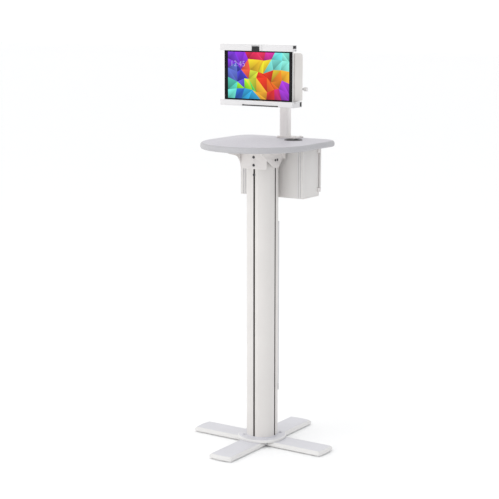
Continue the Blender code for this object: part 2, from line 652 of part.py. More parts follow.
def build_tilt_joint():
    post_face = POST_Y - POST_HALF_DEPTH - GAP
    clevis = add_box("post_clevis", (-EAR_OUTER, EAR_OUTER), (post_face - 0.005, post_face),
                     (TILT_Z - 0.026, TILT_Z + 0.026), WHITE_PAINT)
    for side in (-1, 1):
        span = sorted((side * EAR_INNER, side * EAR_OUTER))
        join(clevis, plate_mesh([ear_outline(post_face - 0.001)], "YZ", span))
    axis_point = (0, TILT_Y, TILT_Z)
    cut(clevis, cylinder_mesh(TILT_BORE, (-0.03, 0.03), axis_point, "X", 16))
    face = HOUSING_REAR + GAP
    lug = add_object("tilt_lug",
                     box_mesh((-0.030, 0.030), (face, face + 0.004), (TILT_Z - 0.028, TILT_Z + 0.028)),
                     WHITE_PAINT, axis_point)
    nose = arc(TILT_Y, TILT_Z, EAR_RADIUS, -90, 90, 8)
    tongue = nose + [(face + 0.002, TILT_Z + 0.016), (face + 0.002, TILT_Z - 0.016)]
    join(lug, plate_mesh([tongue], "YZ", (-LUG_HALF_WIDTH, LUG_HALF_WIDTH)))
    cut(lug, cylinder_mesh(TILT_BORE, (-0.03, 0.03), axis_point, "X", 16))
    head = -EAR_OUTER - GAP
    add_turned("tilt_bolt",
               [(0, KNOB_INNER - GAP), (TILT_BOLT_RADIUS, KNOB_INNER - GAP), (TILT_BOLT_RADIUS, head),
                (0.0068, head), (0.0068, head - 0.004), (0, head - 0.004)], axis_point, "X", STEEL, 16)
    add_turned("tilt_knob",
               [(0, KNOB_OUTER), (KNOB_RADIUS - 0.0015, KNOB_OUTER), (KNOB_RADIUS, KNOB_OUTER - 0.0015),
                (KNOB_RADIUS, KNOB_INNER + 0.001), (KNOB_RADIUS - 0.001, KNOB_INNER), (0, KNOB_INNER)],
               axis_point, "X", GREY_PLASTIC, 16)


# ---------------------------------------------------------------- tablet holder

def build_tray():
    outline = [(RAIL_FRONT, TRAY_BOTTOM), (TRAY_REAR, TRAY_BOTTOM), (TRAY_REAR, TRAY_TOP),
               (GROOVE_REAR, TRAY_TOP),
               (GROOVE_REAR, TABLET_BOTTOM - 0.0005), (GROOVE_FRONT, TABLET_BOTTOM - 0.0005),
               (GROOVE_FRONT, TRAY_TOP), (RAIL_FRONT, TRAY_TOP)]
    chamber = rectangle((0.0040, TRAY_REAR - 0.002), (TRAY_BOTTOM + 0.002, TRAY_TOP - 0.002))
    tray = add_plate("bottom_tray", [outline, chamber], "YZ", (-JAW_HALF_LENGTH, JAW_HALF_LENGTH),
                     WHITE_PAINT)
    soften(tray, 0.0008)
    add_box("tray_strip", (-0.051, 0.083), (RAIL_FRONT - 0.0012, RAIL_FRONT - GAP),
            (TRAY_BOTTOM + 0.0016, TRAY_BOTTOM + 0.0048), RUBBER)


def build_jaw():
    """The sprung upper jaw: a rail that hooks over the tablet, on two rods that run down into the housing."""
    outline = [(RAIL_FRONT, JAW_BOTTOM), (GROOVE_FRONT, JAW_BOTTOM), (GROOVE_FRONT, TABLET_TOP + 0.0005),
               (GROOVE_REAR, TABLET_TOP + 0.0005), (GROOVE_REAR, JAW_BOTTOM), (JAW_REAR, JAW_BOTTOM),
               (JAW_REAR, JAW_TOP), (RAIL_FRONT, JAW_TOP)]
    chamber = rectangle((RAIL_FRONT + 0.002, JAW_REAR - 0.002), (TABLET_TOP + 0.004, JAW_TOP - 0.002))
    jaw = add_plate("top_jaw", [outline, chamber], "YZ", (-JAW_HALF_LENGTH, JAW_HALF_LENGTH), WHITE_PAINT)
    soften(jaw, 0.0008)
    carriage_y = (JAW_REAR + GAP, ROD_Y + 0.006)
    add_box("jaw_carriage", (-ROD_X - 0.010, ROD_X + 0.010), carriage_y,
            (JAW_BOTTOM + 0.003, JAW_TOP - 0.003),
            GREY_PLASTIC, edge=0.001)
    for name, side in (("left", -1), ("right", 1)):
        rod = cylinder_mesh(ROD_RADIUS, (ROD_BOTTOM, JAW_BOTTOM + 0.003 - GAP), (side * ROD_X, ROD_Y, 0),
                            "Z", 12)
        add_object("guide_rod_" + name, rod, STEEL)
    add_box("rod_crossbar", (-ROD_X - 0.008, ROD_X + 0.008), (ROD_Y - 0.004, ROD_Y + 0.004),
            (CROSSBAR_BOTTOM, ROD_BOTTOM - GAP), GREY_PLASTIC)
    add_box("jaw_latch", (-LATCH_HALF_WIDTH, LATCH_HALF_WIDTH), (LATCH_FRONT, RAIL_FRONT - GAP),
            (JAW_BOTTOM - 0.0022, JAW_TOP - 0.0055), BLACK_PLASTIC, edge=0.001)


def build_jaw_spring():
    """A tension spring between the housing's floor and the crossbar of the jaw's rods."""
    turns, per_turn, coil_radius, wire = 7, 8, 0.0035, 0.0005
    bottom = HOUSING_BOTTOM + HOUSING_WALL + 0.001
    height = CROSSBAR_BOTTOM - 0.001 - bottom
    curve = bpy.data.curves.new("jaw_spring", 'CURVE')
    curve.dimensions = '3D'
    curve.bevel_depth = wire
    curve.bevel_resolution = 1
    curve.use_fill_caps = True
    count = turns * per_turn + 1
    spline = curve.splines.new('POLY')
    spline.points.add(count - 1)
    for step, point in enumerate(spline.points):
        angle = 2 * math.pi * step / per_turn
        point.co = (coil_radius * math.cos(angle), coil_radius * math.sin(angle),
                    height * step / (count - 1), 1)
    curve.materials.append(STEEL)
    spring = bpy.data.objects.new("jaw_spring", curve)
    spring.location = (0, ROD_Y, bottom)
    PARTS.objects.link(spring)


def build_housing():
    """The holder's back: a shell that is open at the front, behind a back plate."""
    front_step = (HOUSING_FRONT, HOUSING_STEP + 0.001)
    z_span = (HOUSING_BOTTOM, HOUSING_TOP)
    radius = 0.012
    side_profile = ([(HOUSING_STEP, HOUSING_BOTTOM), (HOUSING_REAR, HOUSING_BOTTOM)]
                    + arc(HOUSING_REAR - radius, HOUSING_TOP - radius, radius, 0, 90, 5)
                    + [(HOUSING_STEP, HOUSING_TOP)])
    shell = add_plate("back_housing", [side_profile], "YZ", (-HOUSING_HALF_WIDTH, HOUSING_HALF_WIDTH),
                      WHITE_PAINT)
    join(shell, box_mesh((-HOUSING_NECK_HALF, HOUSING_NECK_HALF), front_step, z_span))
    wall = HOUSING_WALL
    inner_x = HOUSING_HALF_WIDTH - wall
    inner_z = (HOUSING_BOTTOM + wall, HOUSING_TOP - wall)
    inner_profile = ([(HOUSING_STEP + wall, inner_z[0]), (HOUSING_REAR - wall, inner_z[0])]
                     + arc(HOUSING_REAR - radius, HOUSING_TOP - radius, radius - wall, 0, 90, 5)
                     + [(HOUSING_STEP + wall, inner_z[1])])
    cut(shell, plate_mesh([inner_profile], "YZ", (-inner_x, inner_x)))
    neck = HOUSING_NECK_HALF - wall
    cut(shell, box_mesh((-neck, neck), (HOUSING_FRONT - 0.002, HOUSING_STEP + wall + 0.001), inner_z))
    guide = add_box("rod_guide", (-ROD_X - 0.008, ROD_X + 0.008), (HOUSING_FRONT + GAP, ROD_Y + 0.006),
                    (GUIDE_BOTTOM, GUIDE_TOP), GREY_PLASTIC)
    for side in (-1, 1):
        hole = cylinder_mesh(ROD_RADIUS + 0.0006, (HOUSING_TOP - 0.006, HOUSING_TOP + 0.004),
                             (side * ROD_X, ROD_Y, 0), "Z", 12)
        cut(shell, hole)
        cut(guide, cylinder_mesh(ROD_RADIUS + 0.0004, (GUIDE_BOTTOM - 0.002, GUIDE_TOP + 0.002),
                                 (side * ROD_X, ROD_Y, 0), "Z", 12))
    add_plate("back_plate",
              [rounded_rectangle((-0.124, 0.124), (TRAY_TOP + GAP, 1.272), 0.004)],
              "XZ", (BACK_PLATE_FRONT, BACK_PLATE_REAR), ALUMINIUM)


# ---------------------------------------------------------------- tablet

def tablet_outline(inset, corner):
    return rounded_rectangle((-TABLET_HALF_WIDTH + inset, TABLET_HALF_WIDTH - inset),
                             (TABLET_BOTTOM + inset, TABLET_TOP - inset), corner)


def build_tablet():
    glass_rear = TABLET_FRONT + GLASS_THICKNESS
    add_plate("screen_glass", [tablet_outline(0.0, TABLET_CORNER)], "XZ", (TABLET_FRONT, glass_rear), GLASS)
    cover = add_plate("tablet_back_cover", [tablet_outline(0.0, TABLET_CORNER)], "XZ",
                      (glass_rear + GAP, TABLET_REAR), WHITE_PAINT)
    pocket = tablet_outline(TABLET_WALL, TABLET_CORNER - TABLET_WALL)
    cut(cover, plate_mesh([pocket], "XZ", (glass_rear - 0.002, TABLET_REAR - TABLET_WALL)))
    display_y = (glass_rear + GAP, glass_rear + GAP + 0.0012)
    add_box("display_panel", (-0.1185, 0.1185), display_y, (TABLET_BOTTOM + 0.0085, TABLET_TOP - 0.0085),
            SCREEN)
    add_box("tablet_battery", (-0.085, 0.085), (display_y[1] + GAP, TABLET_REAR - TABLET_WALL - GAP),
            (TABLET_BOTTOM + 0.030, TABLET_TOP - 0.045), GREY_PLASTIC)
    key_y = (-0.0244, -0.0219)
    for name, (low, high) in (("power_key", POWER_KEY), ("volume_key", VOLUME_KEY)):
        slot_y = (key_y[0] - GAP, key_y[1] + GAP)
        cut(cover, box_mesh((-TABLET_HALF_WIDTH - 0.003, -TABLET_HALF_WIDTH + TABLET_WALL + 0.001),
                            slot_y, (low - GAP, high + GAP)))
        add_box(name, (-TABLET_HALF_WIDTH - 0.0007, -TABLET_HALF_WIDTH + 0.002), key_y, (low, high),
                GREY_PLASTIC)


def shade_round_pieces():
    """Smooth shading, with any edge sharper than 35 degrees kept crisp."""
    for piece in PARTS.objects:
        if piece.type == 'MESH' and piece.data.polygons:
            piece.data.shade_smooth()
            piece.data.set_sharp_from_angle(angle=math.radians(35))


build_base()
build_column()
build_worktop()
build_front_bracket()
build_side_brackets()
build_box()
build_door()
build_raceway()
build_post()
build_tilt_joint()
build_tray()
build_jaw()
build_jaw_spring()
build_housing()
build_tablet()
shade_round_pieces()
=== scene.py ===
"""Looks of the touchscreen kiosk: every visible piece as a fine mesh with a procedural material."""
import json
import math
import random

import bmesh
import bpy
from mathutils import Matrix, Vector


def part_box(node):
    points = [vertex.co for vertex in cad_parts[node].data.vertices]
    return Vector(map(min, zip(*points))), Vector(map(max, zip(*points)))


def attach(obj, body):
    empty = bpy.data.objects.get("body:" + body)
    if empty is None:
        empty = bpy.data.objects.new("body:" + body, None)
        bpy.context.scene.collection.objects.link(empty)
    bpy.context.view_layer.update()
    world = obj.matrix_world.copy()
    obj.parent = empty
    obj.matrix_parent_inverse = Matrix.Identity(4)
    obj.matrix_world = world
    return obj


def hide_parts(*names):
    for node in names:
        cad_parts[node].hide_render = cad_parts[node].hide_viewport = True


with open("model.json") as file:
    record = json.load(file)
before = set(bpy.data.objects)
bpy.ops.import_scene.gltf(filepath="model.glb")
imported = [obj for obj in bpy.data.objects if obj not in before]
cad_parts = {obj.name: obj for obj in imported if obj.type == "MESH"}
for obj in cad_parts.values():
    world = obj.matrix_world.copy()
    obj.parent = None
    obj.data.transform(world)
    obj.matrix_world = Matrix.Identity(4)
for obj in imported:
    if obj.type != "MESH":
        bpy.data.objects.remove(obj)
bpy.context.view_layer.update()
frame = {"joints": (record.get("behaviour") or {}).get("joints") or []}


# ================================================================ materials

def new_material(name):
    made = bpy.data.materials.new(name)
    made.use_nodes = True
    tree = made.node_tree
    return made, tree, tree.nodes["Principled BSDF"]


def object_coordinates(tree, scale=(1, 1, 1)):
    coordinates = tree.nodes.new("ShaderNodeTexCoord")
    mapping = tree.nodes.new("ShaderNodeMapping")
    mapping.inputs["Scale"].default_value = scale
    tree.links.new(coordinates.outputs["Object"], mapping.inputs["Vector"])
    return mapping.outputs["Vector"]


def noise(tree, vector, scale, detail=4.0, roughness=0.5):
    made = tree.nodes.new("ShaderNodeTexNoise")
    made.inputs["Scale"].default_value = scale
    made.inputs["Detail"].default_value = detail
    made.inputs["Roughness"].default_value = roughness
    tree.links.new(vector, made.inputs["Vector"])
    return made.outputs["Fac"]


def ramp(tree, value, stops):
    """A colour ramp: stops are (position, colour) pairs."""
    made = tree.nodes.new("ShaderNodeValToRGB")
    elements = made.color_ramp.elements
    while len(elements) < len(stops):
        elements.new(0.5)
    for element, (position, colour) in zip(elements, stops):
        element.position = position
        element.color = (*colour, 1.0)
    tree.links.new(value, made.inputs["Fac"])
    return made.outputs["Color"]


def spread(tree, value, low, high):
    """Map a 0 to 1 value to a range."""
    made = tree.nodes.new("ShaderNodeMapRange")
    made.inputs["From Min"].default_value = 0.3
    made.inputs["From Max"].default_value = 0.7
    made.inputs["To Min"].default_value = low
    made.inputs["To Max"].default_value = high
    tree.links.new(value, made.inputs["Value"])
    return made.outputs["Result"]


def bump(tree, shader, height, strength, distance):
    made = tree.nodes.new("ShaderNodeBump")
    made.inputs["Strength"].default_value = strength
    made.inputs["Distance"].default_value = distance
    tree.links.new(height, made.inputs["Height"])
    tree.links.new(made.outputs["Normal"], shader.inputs["Normal"])


def multiply(tree, first, second):
    made = tree.nodes.new("ShaderNodeMix")
    made.data_type = 'RGBA'
    made.blend_type = 'MULTIPLY'
    made.inputs["Factor"].default_value = 1.0
    tree.links.new(first, made.inputs["A"])
    tree.links.new(second, made.inputs["B"])
    return made.outputs["Result"]


def shade_of(colour, factor):
    return tuple(min(1.0, channel * factor) for channel in colour)


def coated_metal(name, colour, roughness=0.42, grain=1400.0, depth=0.00006, metallic=0.0, variation=0.035):
    """Powder coat: a fine orange-peel texture with faint, broad changes of tone."""
    made, tree, shader = new_material(name)
    vector = object_coordinates(tree)
    broad = noise(tree, vector, 7.0, 3.0)
    stops = [(0.3, shade_of(colour, 1.0 - variation)), (0.7, shade_of(colour, 1.0 + variation * 0.6))]
    tree.links.new(ramp(tree, broad, stops), shader.inputs["Base Color"])
    tree.links.new(spread(tree, noise(tree, vector, 40.0, 5.0), roughness - 0.05, roughness + 0.07),
                   shader.inputs["Roughness"])
    bump(tree, shader, noise(tree, vector, grain, 2.0), 0.12, depth)
    shader.inputs["Metallic"].default_value = metallic
    shader.inputs["Specular IOR Level"].default_value = 0.45
    return made


def moulded_plastic(name, colour, roughness=0.5, grain=2600.0, depth=0.00004, variation=0.04):
    """Moulded plastic: a spark-eroded grain and slightly uneven gloss."""
    made, tree, shader = new_material(name)
    vector = object_coordinates(tree)
    stops = [(0.25, shade_of(colour, 1.0 - variation)), (0.75, shade_of(colour, 1.0 + variation))]
    tree.links.new(ramp(tree, noise(tree, vector, 18.0, 4.0), stops), shader.inputs["Base Color"])
    tree.links.new(spread(tree, noise(tree, vector, 65.0, 4.0), roughness - 0.06, roughness + 0.08),
                   shader.inputs["Roughness"])
    bump(tree, shader, noise(tree, vector, grain, 3.0, 0.6), 0.15, depth)
    shader.inputs["Specular IOR Level"].default_value = 0.3
    return made


def laminate(name, colour):
    """Thermoformed laminate: a dense, fine speckle over a pale tone, with a soft pebble texture."""
    made, tree, shader = new_material(name)
    vector = object_coordinates(tree)
    speckle = noise(tree, vector, 900.0, 2.0, 0.7)
    stops = [(0.36, shade_of(colour, 0.90)), (0.5, colour), (0.66, shade_of(colour, 1.05))]
    fine = ramp(tree, speckle, stops)
    broad = ramp(tree, noise(tree, vector, 5.0, 2.0), [(0.3, (0.96, 0.96, 0.965)), (0.7, (1.0, 1.0, 1.0))])
    tree.links.new(multiply(tree, fine, broad), shader.inputs["Base Color"])
    tree.links.new(spread(tree, noise(tree, vector, 120.0, 4.0), 0.42, 0.54), shader.inputs["Roughness"])
    bump(tree, shader, noise(tree, vector, 1500.0, 3.0, 0.6), 0.2, 0.00005)
    return made


def plated_steel(name, colour, roughness=0.32):
    """Zinc plate: crystalline mottling with fine turning marks."""
    made, tree, shader = new_material(name)
    vector = object_coordinates(tree)
    cells = tree.nodes.new("ShaderNodeTexVoronoi")
    cells.inputs["Scale"].default_value = 700.0
    tree.links.new(vector, cells.inputs["Vector"])
    stops = [(0.0, shade_of(colour, 0.85)), (1.0, shade_of(colour, 1.1))]
    tree.links.new(ramp(tree, cells.outputs["Distance"], stops), shader.inputs["Base Color"])
    tree.links.new(spread(tree, noise(tree, vector, 300.0, 4.0), roughness - 0.08, roughness + 0.12),
                   shader.inputs["Roughness"])
    bump(tree, shader, noise(tree, object_coordinates(tree, (1, 1, 12)), 500.0, 2.0), 0.2, 0.00003)
    shader.inputs["Metallic"].default_value = 1.0
    return made


def rubber(name, colour, roughness=0.8):
    """Rubber: matt black with a faint bloom."""
    made, tree, shader = new_material(name)
    vector = object_coordinates(tree)
    stops = [(0.3, shade_of(colour, 0.8)), (0.72, shade_of(colour, 1.5))]
    tree.links.new(ramp(tree, noise(tree, vector, 90.0, 5.0), stops), shader.inputs["Base Color"])
    tree.links.new(spread(tree, noise(tree, vector, 200.0, 3.0), roughness - 0.1, roughness + 0.08),
                   shader.inputs["Roughness"])
    bump(tree, shader, noise(tree, vector, 1800.0, 3.0), 0.4, 0.00006)
    return made


def cover_glass(name):
    """The tablet's black border under glass: deep black, glossy, with the faintest smears."""
    made, tree, shader = new_material(name)
    vector = object_coordinates(tree)
    stops = [(0.3, (0.004, 0.004, 0.005)), (0.8, (0.007, 0.007, 0.009))]
    tree.links.new(ramp(tree, noise(tree, vector, 25.0, 4.0), stops), shader.inputs["Base Color"])
    tree.links.new(spread(tree, noise(tree, vector, 14.0, 5.0), 0.05, 0.12), shader.inputs["Roughness"])
    shader.inputs["Specular IOR Level"].default_value = 0.12
    return made


def lit_facets(name):
    """The lit picture: each facet's own colour, with a soft gradient and a faint grain."""
    made, tree, shader = new_material(name)
    colours = tree.nodes.new("ShaderNodeVertexColor")
    colours.layer_name = "facet_colour"
    vector = object_coordinates(tree)
    grain = ramp(tree, noise(tree, vector, 2500.0, 1.0), [(0.2, (0.97, 0.97, 0.97)), (0.8, (1.0, 1.0, 1.0))])
    tree.links.new(multiply(tree, colours.outputs["Color"], grain), shader.inputs["Emission Color"])
    shader.inputs["Emission Strength"].default_value = 0.98
    shader.inputs["Specular IOR Level"].default_value = 0.08
    shader.inputs["Base Color"].default_value = (0.01, 0.01, 0.01, 1.0)
    shader.inputs["Roughness"].default_value = 0.12
    return made


def lit_digits(name):
    made, tree, shader = new_material(name)
    vector = object_coordinates(tree)
    tone = ramp(tree, noise(tree, vector, 900.0, 1.0), [(0.2, (0.50, 0.46, 0.86)), (0.8, (0.62, 0.60, 0.95))])
    tree.links.new(tone, shader.inputs["Emission Color"])
    shader.inputs["Emission Strength"].default_value = 0.95
    shader.inputs["Base Color"].default_value = (0.02, 0.02, 0.02, 1.0)
    return made


WHITE = coated_metal("white_powder_coat", (0.73, 0.70, 0.685))
BOX_WHITE = coated_metal("box_powder_coat", (0.69, 0.67, 0.655), 0.46)
LEG_WHITE = coated_metal("leg_powder_coat", (0.655, 0.65, 0.685), 0.40, 1100.0, 0.00008)
# A brighter, warmer copy of the leg coat for the side faces of the legs and hub disc: painted light, not a
# second paint.
LEG_SIDE_PAINTED_LIGHT = coated_metal("leg_side_painted_light_coat", (0.75, 0.74, 0.73), 0.40, 1100.0, 0.00008)
# Dark grey for the thin lines beside the box's front folds: painted shade where the folds overlap.
SEAM_PAINTED_SHADE = coated_metal("box_seam_painted_shade", (0.36, 0.35, 0.345), 0.6)
COLUMN_WHITE = coated_metal("column_powder_coat", (0.705, 0.68, 0.66), 0.36, 1600.0, 0.00004)
RAIL_WHITE = coated_metal("rail_powder_coat", (0.71, 0.70, 0.705), 0.38)
# Lighter than the other white coats to make up for the shade the head and worktop throw on the post: painted
# light.
POST_PAINTED_LIGHT = coated_metal("post_painted_light_coat", (0.87, 0.84, 0.825))
# Near-black for the faces inside the column's T-slots: painted shade in the slot recesses.
SLOT_PAINTED_SHADE = coated_metal("slot_painted_shade", (0.085, 0.075, 0.068), 0.7)
LAMINATE = laminate("worktop_laminate", (0.60, 0.585, 0.625))
# A darker copy of the worktop laminate for the board's edges and underside: painted shade, as the wrap is one
# laminate.
EDGE_PAINTED_SHADE_LAMINATE = laminate("worktop_edge_painted_shade", (0.47, 0.465, 0.48))
ZINC = plated_steel("zinc_plated_steel", (0.55, 0.55, 0.56))
DARK_STEEL = plated_steel("blackened_steel", (0.10, 0.10, 0.105), 0.38)
ANODISED = plated_steel("anodised_aluminium", (0.50, 0.50, 0.52), 0.4)
BLACK_RUBBER = rubber("black_rubber", (0.022, 0.022, 0.022))
GREY_RUBBER = rubber("grey_rubber", (0.16, 0.16, 0.165))
BLACK_PLASTIC = moulded_plastic("black_moulded_plastic", (0.016, 0.016, 0.018), 0.42)
RACEWAY_WHITE = moulded_plastic("raceway_moulded_plastic", (0.61, 0.612, 0.625), 0.45)
GREY_PLASTIC = moulded_plastic("grey_moulded_plastic", (0.32, 0.32, 0.33))
WHITE_PLASTIC = moulded_plastic("white_moulded_plastic", (0.78, 0.77, 0.76), 0.4)
HOUSING_PLASTIC = moulded_plastic("housing_moulded_plastic", (0.74, 0.71, 0.685), 0.48)
GLASS = cover_glass("cover_glass")
FACETS = lit_facets("lit_display")
DIGITS = lit_digits("lit_digits")


# ================================================================ mesh helpers

def finish_piece(made, finish, body, replaced=()):
    made.data.materials.clear()
    made.data.materials.append(finish)
    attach(made, body)
    if replaced:
        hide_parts(*replaced)
    return made


def smooth(target, angle=35):
    target.data.shade_smooth()
    target.data.set_sharp_from_angle(angle=math.radians(angle))


def link_mesh(name, mesh):
    made = bpy.data.objects.new(name, mesh)
    bpy.context.scene.collection.objects.link(made)
    return made


def evaluated_mesh(target):
    bpy.context.view_layer.update()
    return bpy.data.meshes.new_from_object(target.evaluated_get(bpy.context.evaluated_depsgraph_get()))


def take_mesh(name, curve):
    """The mesh of a curve or a text, without leaving an object behind."""
    holder = link_mesh(name, curve)
    mesh = evaluated_mesh(holder)
    bpy.data.objects.remove(holder, do_unlink=True)
    return mesh


def store_mesh(name, work):
    """End a bmesh and keep its faces as a mesh."""
    mesh = bpy.data.meshes.new(name)
    work.to_mesh(mesh)
    work.free()
    return mesh


def apply_modifiers(target):
    """Turn the modifiers of a piece into its mesh."""
    mesh = evaluated_mesh(target)
    old = target.data
    target.modifiers.clear()
    target.data = mesh
    bpy.data.meshes.remove(old)
    return target


def add_bevel(target, width, segments=3, angle=30):
    step = target.modifiers.new("edges", 'BEVEL')
    step.width = width
    step.segments = segments
    step.limit_method = 'ANGLE'
    step.angle_limit = math.radians(angle)
    step.use_clamp_overlap = True
    step.harden_normals = False
    return target


def box_mesh(low, high):
    low, high = Vector(low), Vector(high)
    work = bmesh.new()
    bmesh.ops.create_cube(work, size=1.0)
    bmesh.ops.scale(work, vec=high - low, verts=work.verts)
    bmesh.ops.translate(work, vec=(low + high) / 2, verts=work.verts)
    return store_mesh("box", work)


def rounded_box(name, low, high, width, segments=3):
    return apply_modifiers(add_bevel(link_mesh(name, box_mesh(low, high)), width, segments))


AXIS_TURN = {
    "Z": Matrix.Identity(4),
    "X": Matrix.Rotation(math.radians(90), 4, 'Y'),
    "-X": Matrix.Rotation(math.radians(-90), 4, 'Y'),
    "Y": Matrix.Rotation(math.radians(-90), 4, 'X'),
    "-Y": Matrix.Rotation(math.radians(90), 4, 'X'),
}


def cylinder_mesh(radius, span, centre, axis="Z", sides=48):
    work = bmesh.new()
    bmesh.ops.create_cone(work, cap_ends=True, segments=sides, radius1=radius, radius2=radius,
                          depth=span[1] - span[0])
    shift = Matrix.Translation((0, 0, (span[0] + span[1]) / 2))
    bmesh.ops.transform(work, matrix=Matrix.Translation(centre) @ AXIS_TURN[axis] @ shift, verts=work.verts)
    return store_mesh("cylinder", work)


def round_corners(profile, radius, steps=3, closed=False):
    """Fillet a profile's corners: profile points are (a, b) or (a, b, own_radius)."""
    count = len(profile)
    result = []
    for index, point in enumerate(profile):
        here = Vector(point[:2])
        reach = point[2] if len(point) > 2 else radius
        if reach <= 0 or (not closed and index in (0, count - 1)):
            result.append(tuple(here))
            continue
        before = Vector(profile[index - 1][:2]) - here
        after = Vector(profile[(index + 1) % count][:2]) - here
        turn = before.angle(after, math.pi)
        if turn > math.radians(178):
            result.append(tuple(here))
            continue
        cut_back = min(reach / math.tan(turn / 2), before.length * 0.49, after.length * 0.49)
        start = here + before.normalized() * cut_back
        end = here + after.normalized() * cut_back
        for step in range(steps + 1):
            t = step / steps
            mixed = start * (1 - t) ** 2 + here * 2 * t * (1 - t) + end * t ** 2
            result.append(tuple(mixed))
    return result


def turned(name, profile, centre, axis="Z", steps=64, fillet=0.0, closed=False, fillet_steps=3):
    """A turned piece from (radius, height) points that run down its outer side."""
    points = round_corners(profile, fillet, fillet_steps, closed) if fillet else [p[:2] for p in profile]
    work = bmesh.new()
    rings = []
    for radius, height in points:
        if radius < 1e-7:
            rings.append([work.verts.new((0, 0, height))])
            continue
        ring = []
        for step in range(steps):
            angle = 2 * math.pi * step / steps
            ring.append(work.verts.new((radius * math.cos(angle), radius * math.sin(angle), height)))
        rings.append(ring)
    pairs = list(zip(rings, rings[1:]))
    if closed:
        pairs.append((rings[-1], rings[0]))
    for upper, lower in pairs:
        for step in range(steps):
            after = (step + 1) % steps
            corners = []
            for vert in (upper[step % len(upper)], lower[step % len(lower)],
                         lower[after % len(lower)], upper[after % len(upper)]):
                if vert not in corners:
                    corners.append(vert)
            if len(corners) > 2:
                work.faces.new(corners)
    bmesh.ops.recalc_face_normals(work, faces=work.faces)
    bmesh.ops.transform(work, matrix=Matrix.Translation(centre) @ AXIS_TURN[axis], verts=work.verts)
    made = link_mesh(name, store_mesh(name, work))
    smooth(made, 40)
    return made


def arc(centre_a, centre_b, radius, start, end, steps):
    points = []
    for step in range(steps + 1):
        angle = math.radians(start + (end - start) * step / steps)
        points.append((centre_a + radius * math.cos(angle), centre_b + radius * math.sin(angle)))
    return points


def rounded_rectangle(a_span, b_span, radius, steps=8):
    low_a, high_a = a_span[0] + radius, a_span[1] - radius
    low_b, high_b = b_span[0] + radius, b_span[1] - radius
    return (arc(high_a, low_b, radius, -90, 0, steps) + arc(high_a, high_b, radius, 0, 90, steps)
            + arc(low_a, high_b, radius, 90, 180, steps) + arc(low_a, low_b, radius, 180, 270, steps))


PLANE_TURN = {
    "XY": Matrix.Identity(4),
    "XZ": Matrix(((1, 0, 0, 0), (0, 0, -1, 0), (0, 1, 0, 0), (0, 0, 0, 1))),
    "YZ": Matrix(((0, 0, 1, 0), (1, 0, 0, 0), (0, 1, 0, 0), (0, 0, 0, 1))),
}
PLANE_NORMAL = {"XY": Vector((0, 0, 1)), "XZ": Vector((0, 1, 0)), "YZ": Vector((1, 0, 0))}


def plate_mesh(outlines, plane, span):
    """A flat plate with holes: the outline and its holes lie in a plane, the thickness along its normal."""
    curve = bpy.data.curves.new("outline", 'CURVE')
    curve.dimensions = '2D'
    curve.fill_mode = 'BOTH'
    curve.extrude = (span[1] - span[0]) / 2
    for outline in outlines:
        spline = curve.splines.new('POLY')
        spline.points.add(len(outline) - 1)
        for point, (a, b) in zip(spline.points, outline):
            point.co = (a, b, 0.0, 1.0)
        spline.use_cyclic_u = True
    mesh = take_mesh("outline", curve)
    work = bmesh.new()
    work.from_mesh(mesh)
    bmesh.ops.remove_doubles(work, verts=work.verts, dist=0.000005)
    bmesh.ops.recalc_face_normals(work, faces=work.faces)
    bmesh.ops.dissolve_limit(work, angle_limit=math.radians(0.5), verts=work.verts,
                             edges=[e for e in work.edges if e.calc_face_angle(1.0) < math.radians(0.3)])
    work.to_mesh(mesh)
    work.free()
    mesh.transform(Matrix.Translation(PLANE_NORMAL[plane] * ((span[0] + span[1]) / 2)) @ PLANE_TURN[plane])
    return mesh


def plate(name, outlines, plane, span, width=0.0, segments=3, angle=40):
    made = link_mesh(name, plate_mesh(outlines, plane, span))
    if width:
        add_bevel(made, width, segments, angle)
        apply_modifiers(made)
    smooth(made)
    return made


def combine(target, tool_mesh, operation):
    tool = link_mesh("tool", tool_mesh)
    step = target.modifiers.new("step", 'BOOLEAN')
    step.operation = operation
    step.solver = 'EXACT'
    step.object = tool
    apply_modifiers(target)
    bpy.data.objects.remove(tool, do_unlink=True)
    return target


def cut(target, tool_mesh):
    return combine(target, tool_mesh, 'DIFFERENCE')


def join(target, tool_mesh):
    return combine(target, tool_mesh, 'UNION')


def middle(node):
    low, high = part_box(node)
    return (low + high) / 2


# ================================================================ camera, light and floor

CAMERA_AZIMUTH = 33.09
CAMERA_YAW = 0.535
CAMERA_PITCH = 10.18
CAMERA_DISTANCE = 4.483
CAMERA_HEIGHT = 1.449
CAMERA_LENS = 101.6


def build_camera():
    data = bpy.data.cameras.new("camera")
    data.sensor_width = 36.0
    data.lens = CAMERA_LENS
    data.clip_end = 200.0
    camera = bpy.data.objects.new("camera", data)
    bpy.context.scene.collection.objects.link(camera)
    around = math.radians(CAMERA_AZIMUTH)
    camera.location = (CAMERA_DISTANCE * math.sin(around), -CAMERA_DISTANCE * math.cos(around), CAMERA_HEIGHT)
    camera.rotation_euler = (math.radians(90 - CAMERA_PITCH), 0, math.radians(CAMERA_AZIMUTH + CAMERA_YAW))
    bpy.context.scene.camera = camera


def add_area(name, location, target, size, power, colour=(1, 1, 1)):
    data = bpy.data.lights.new(name, 'AREA')
    data.shape = 'RECTANGLE'
    data.size, data.size_y = size
    data.energy = power
    data.color = colour
    light = bpy.data.objects.new(name, data)
    light.location = location
    light.rotation_euler = (Vector(target) - Vector(location)).to_track_quat('-Z', 'Y').to_euler()
    bpy.context.scene.collection.objects.link(light)


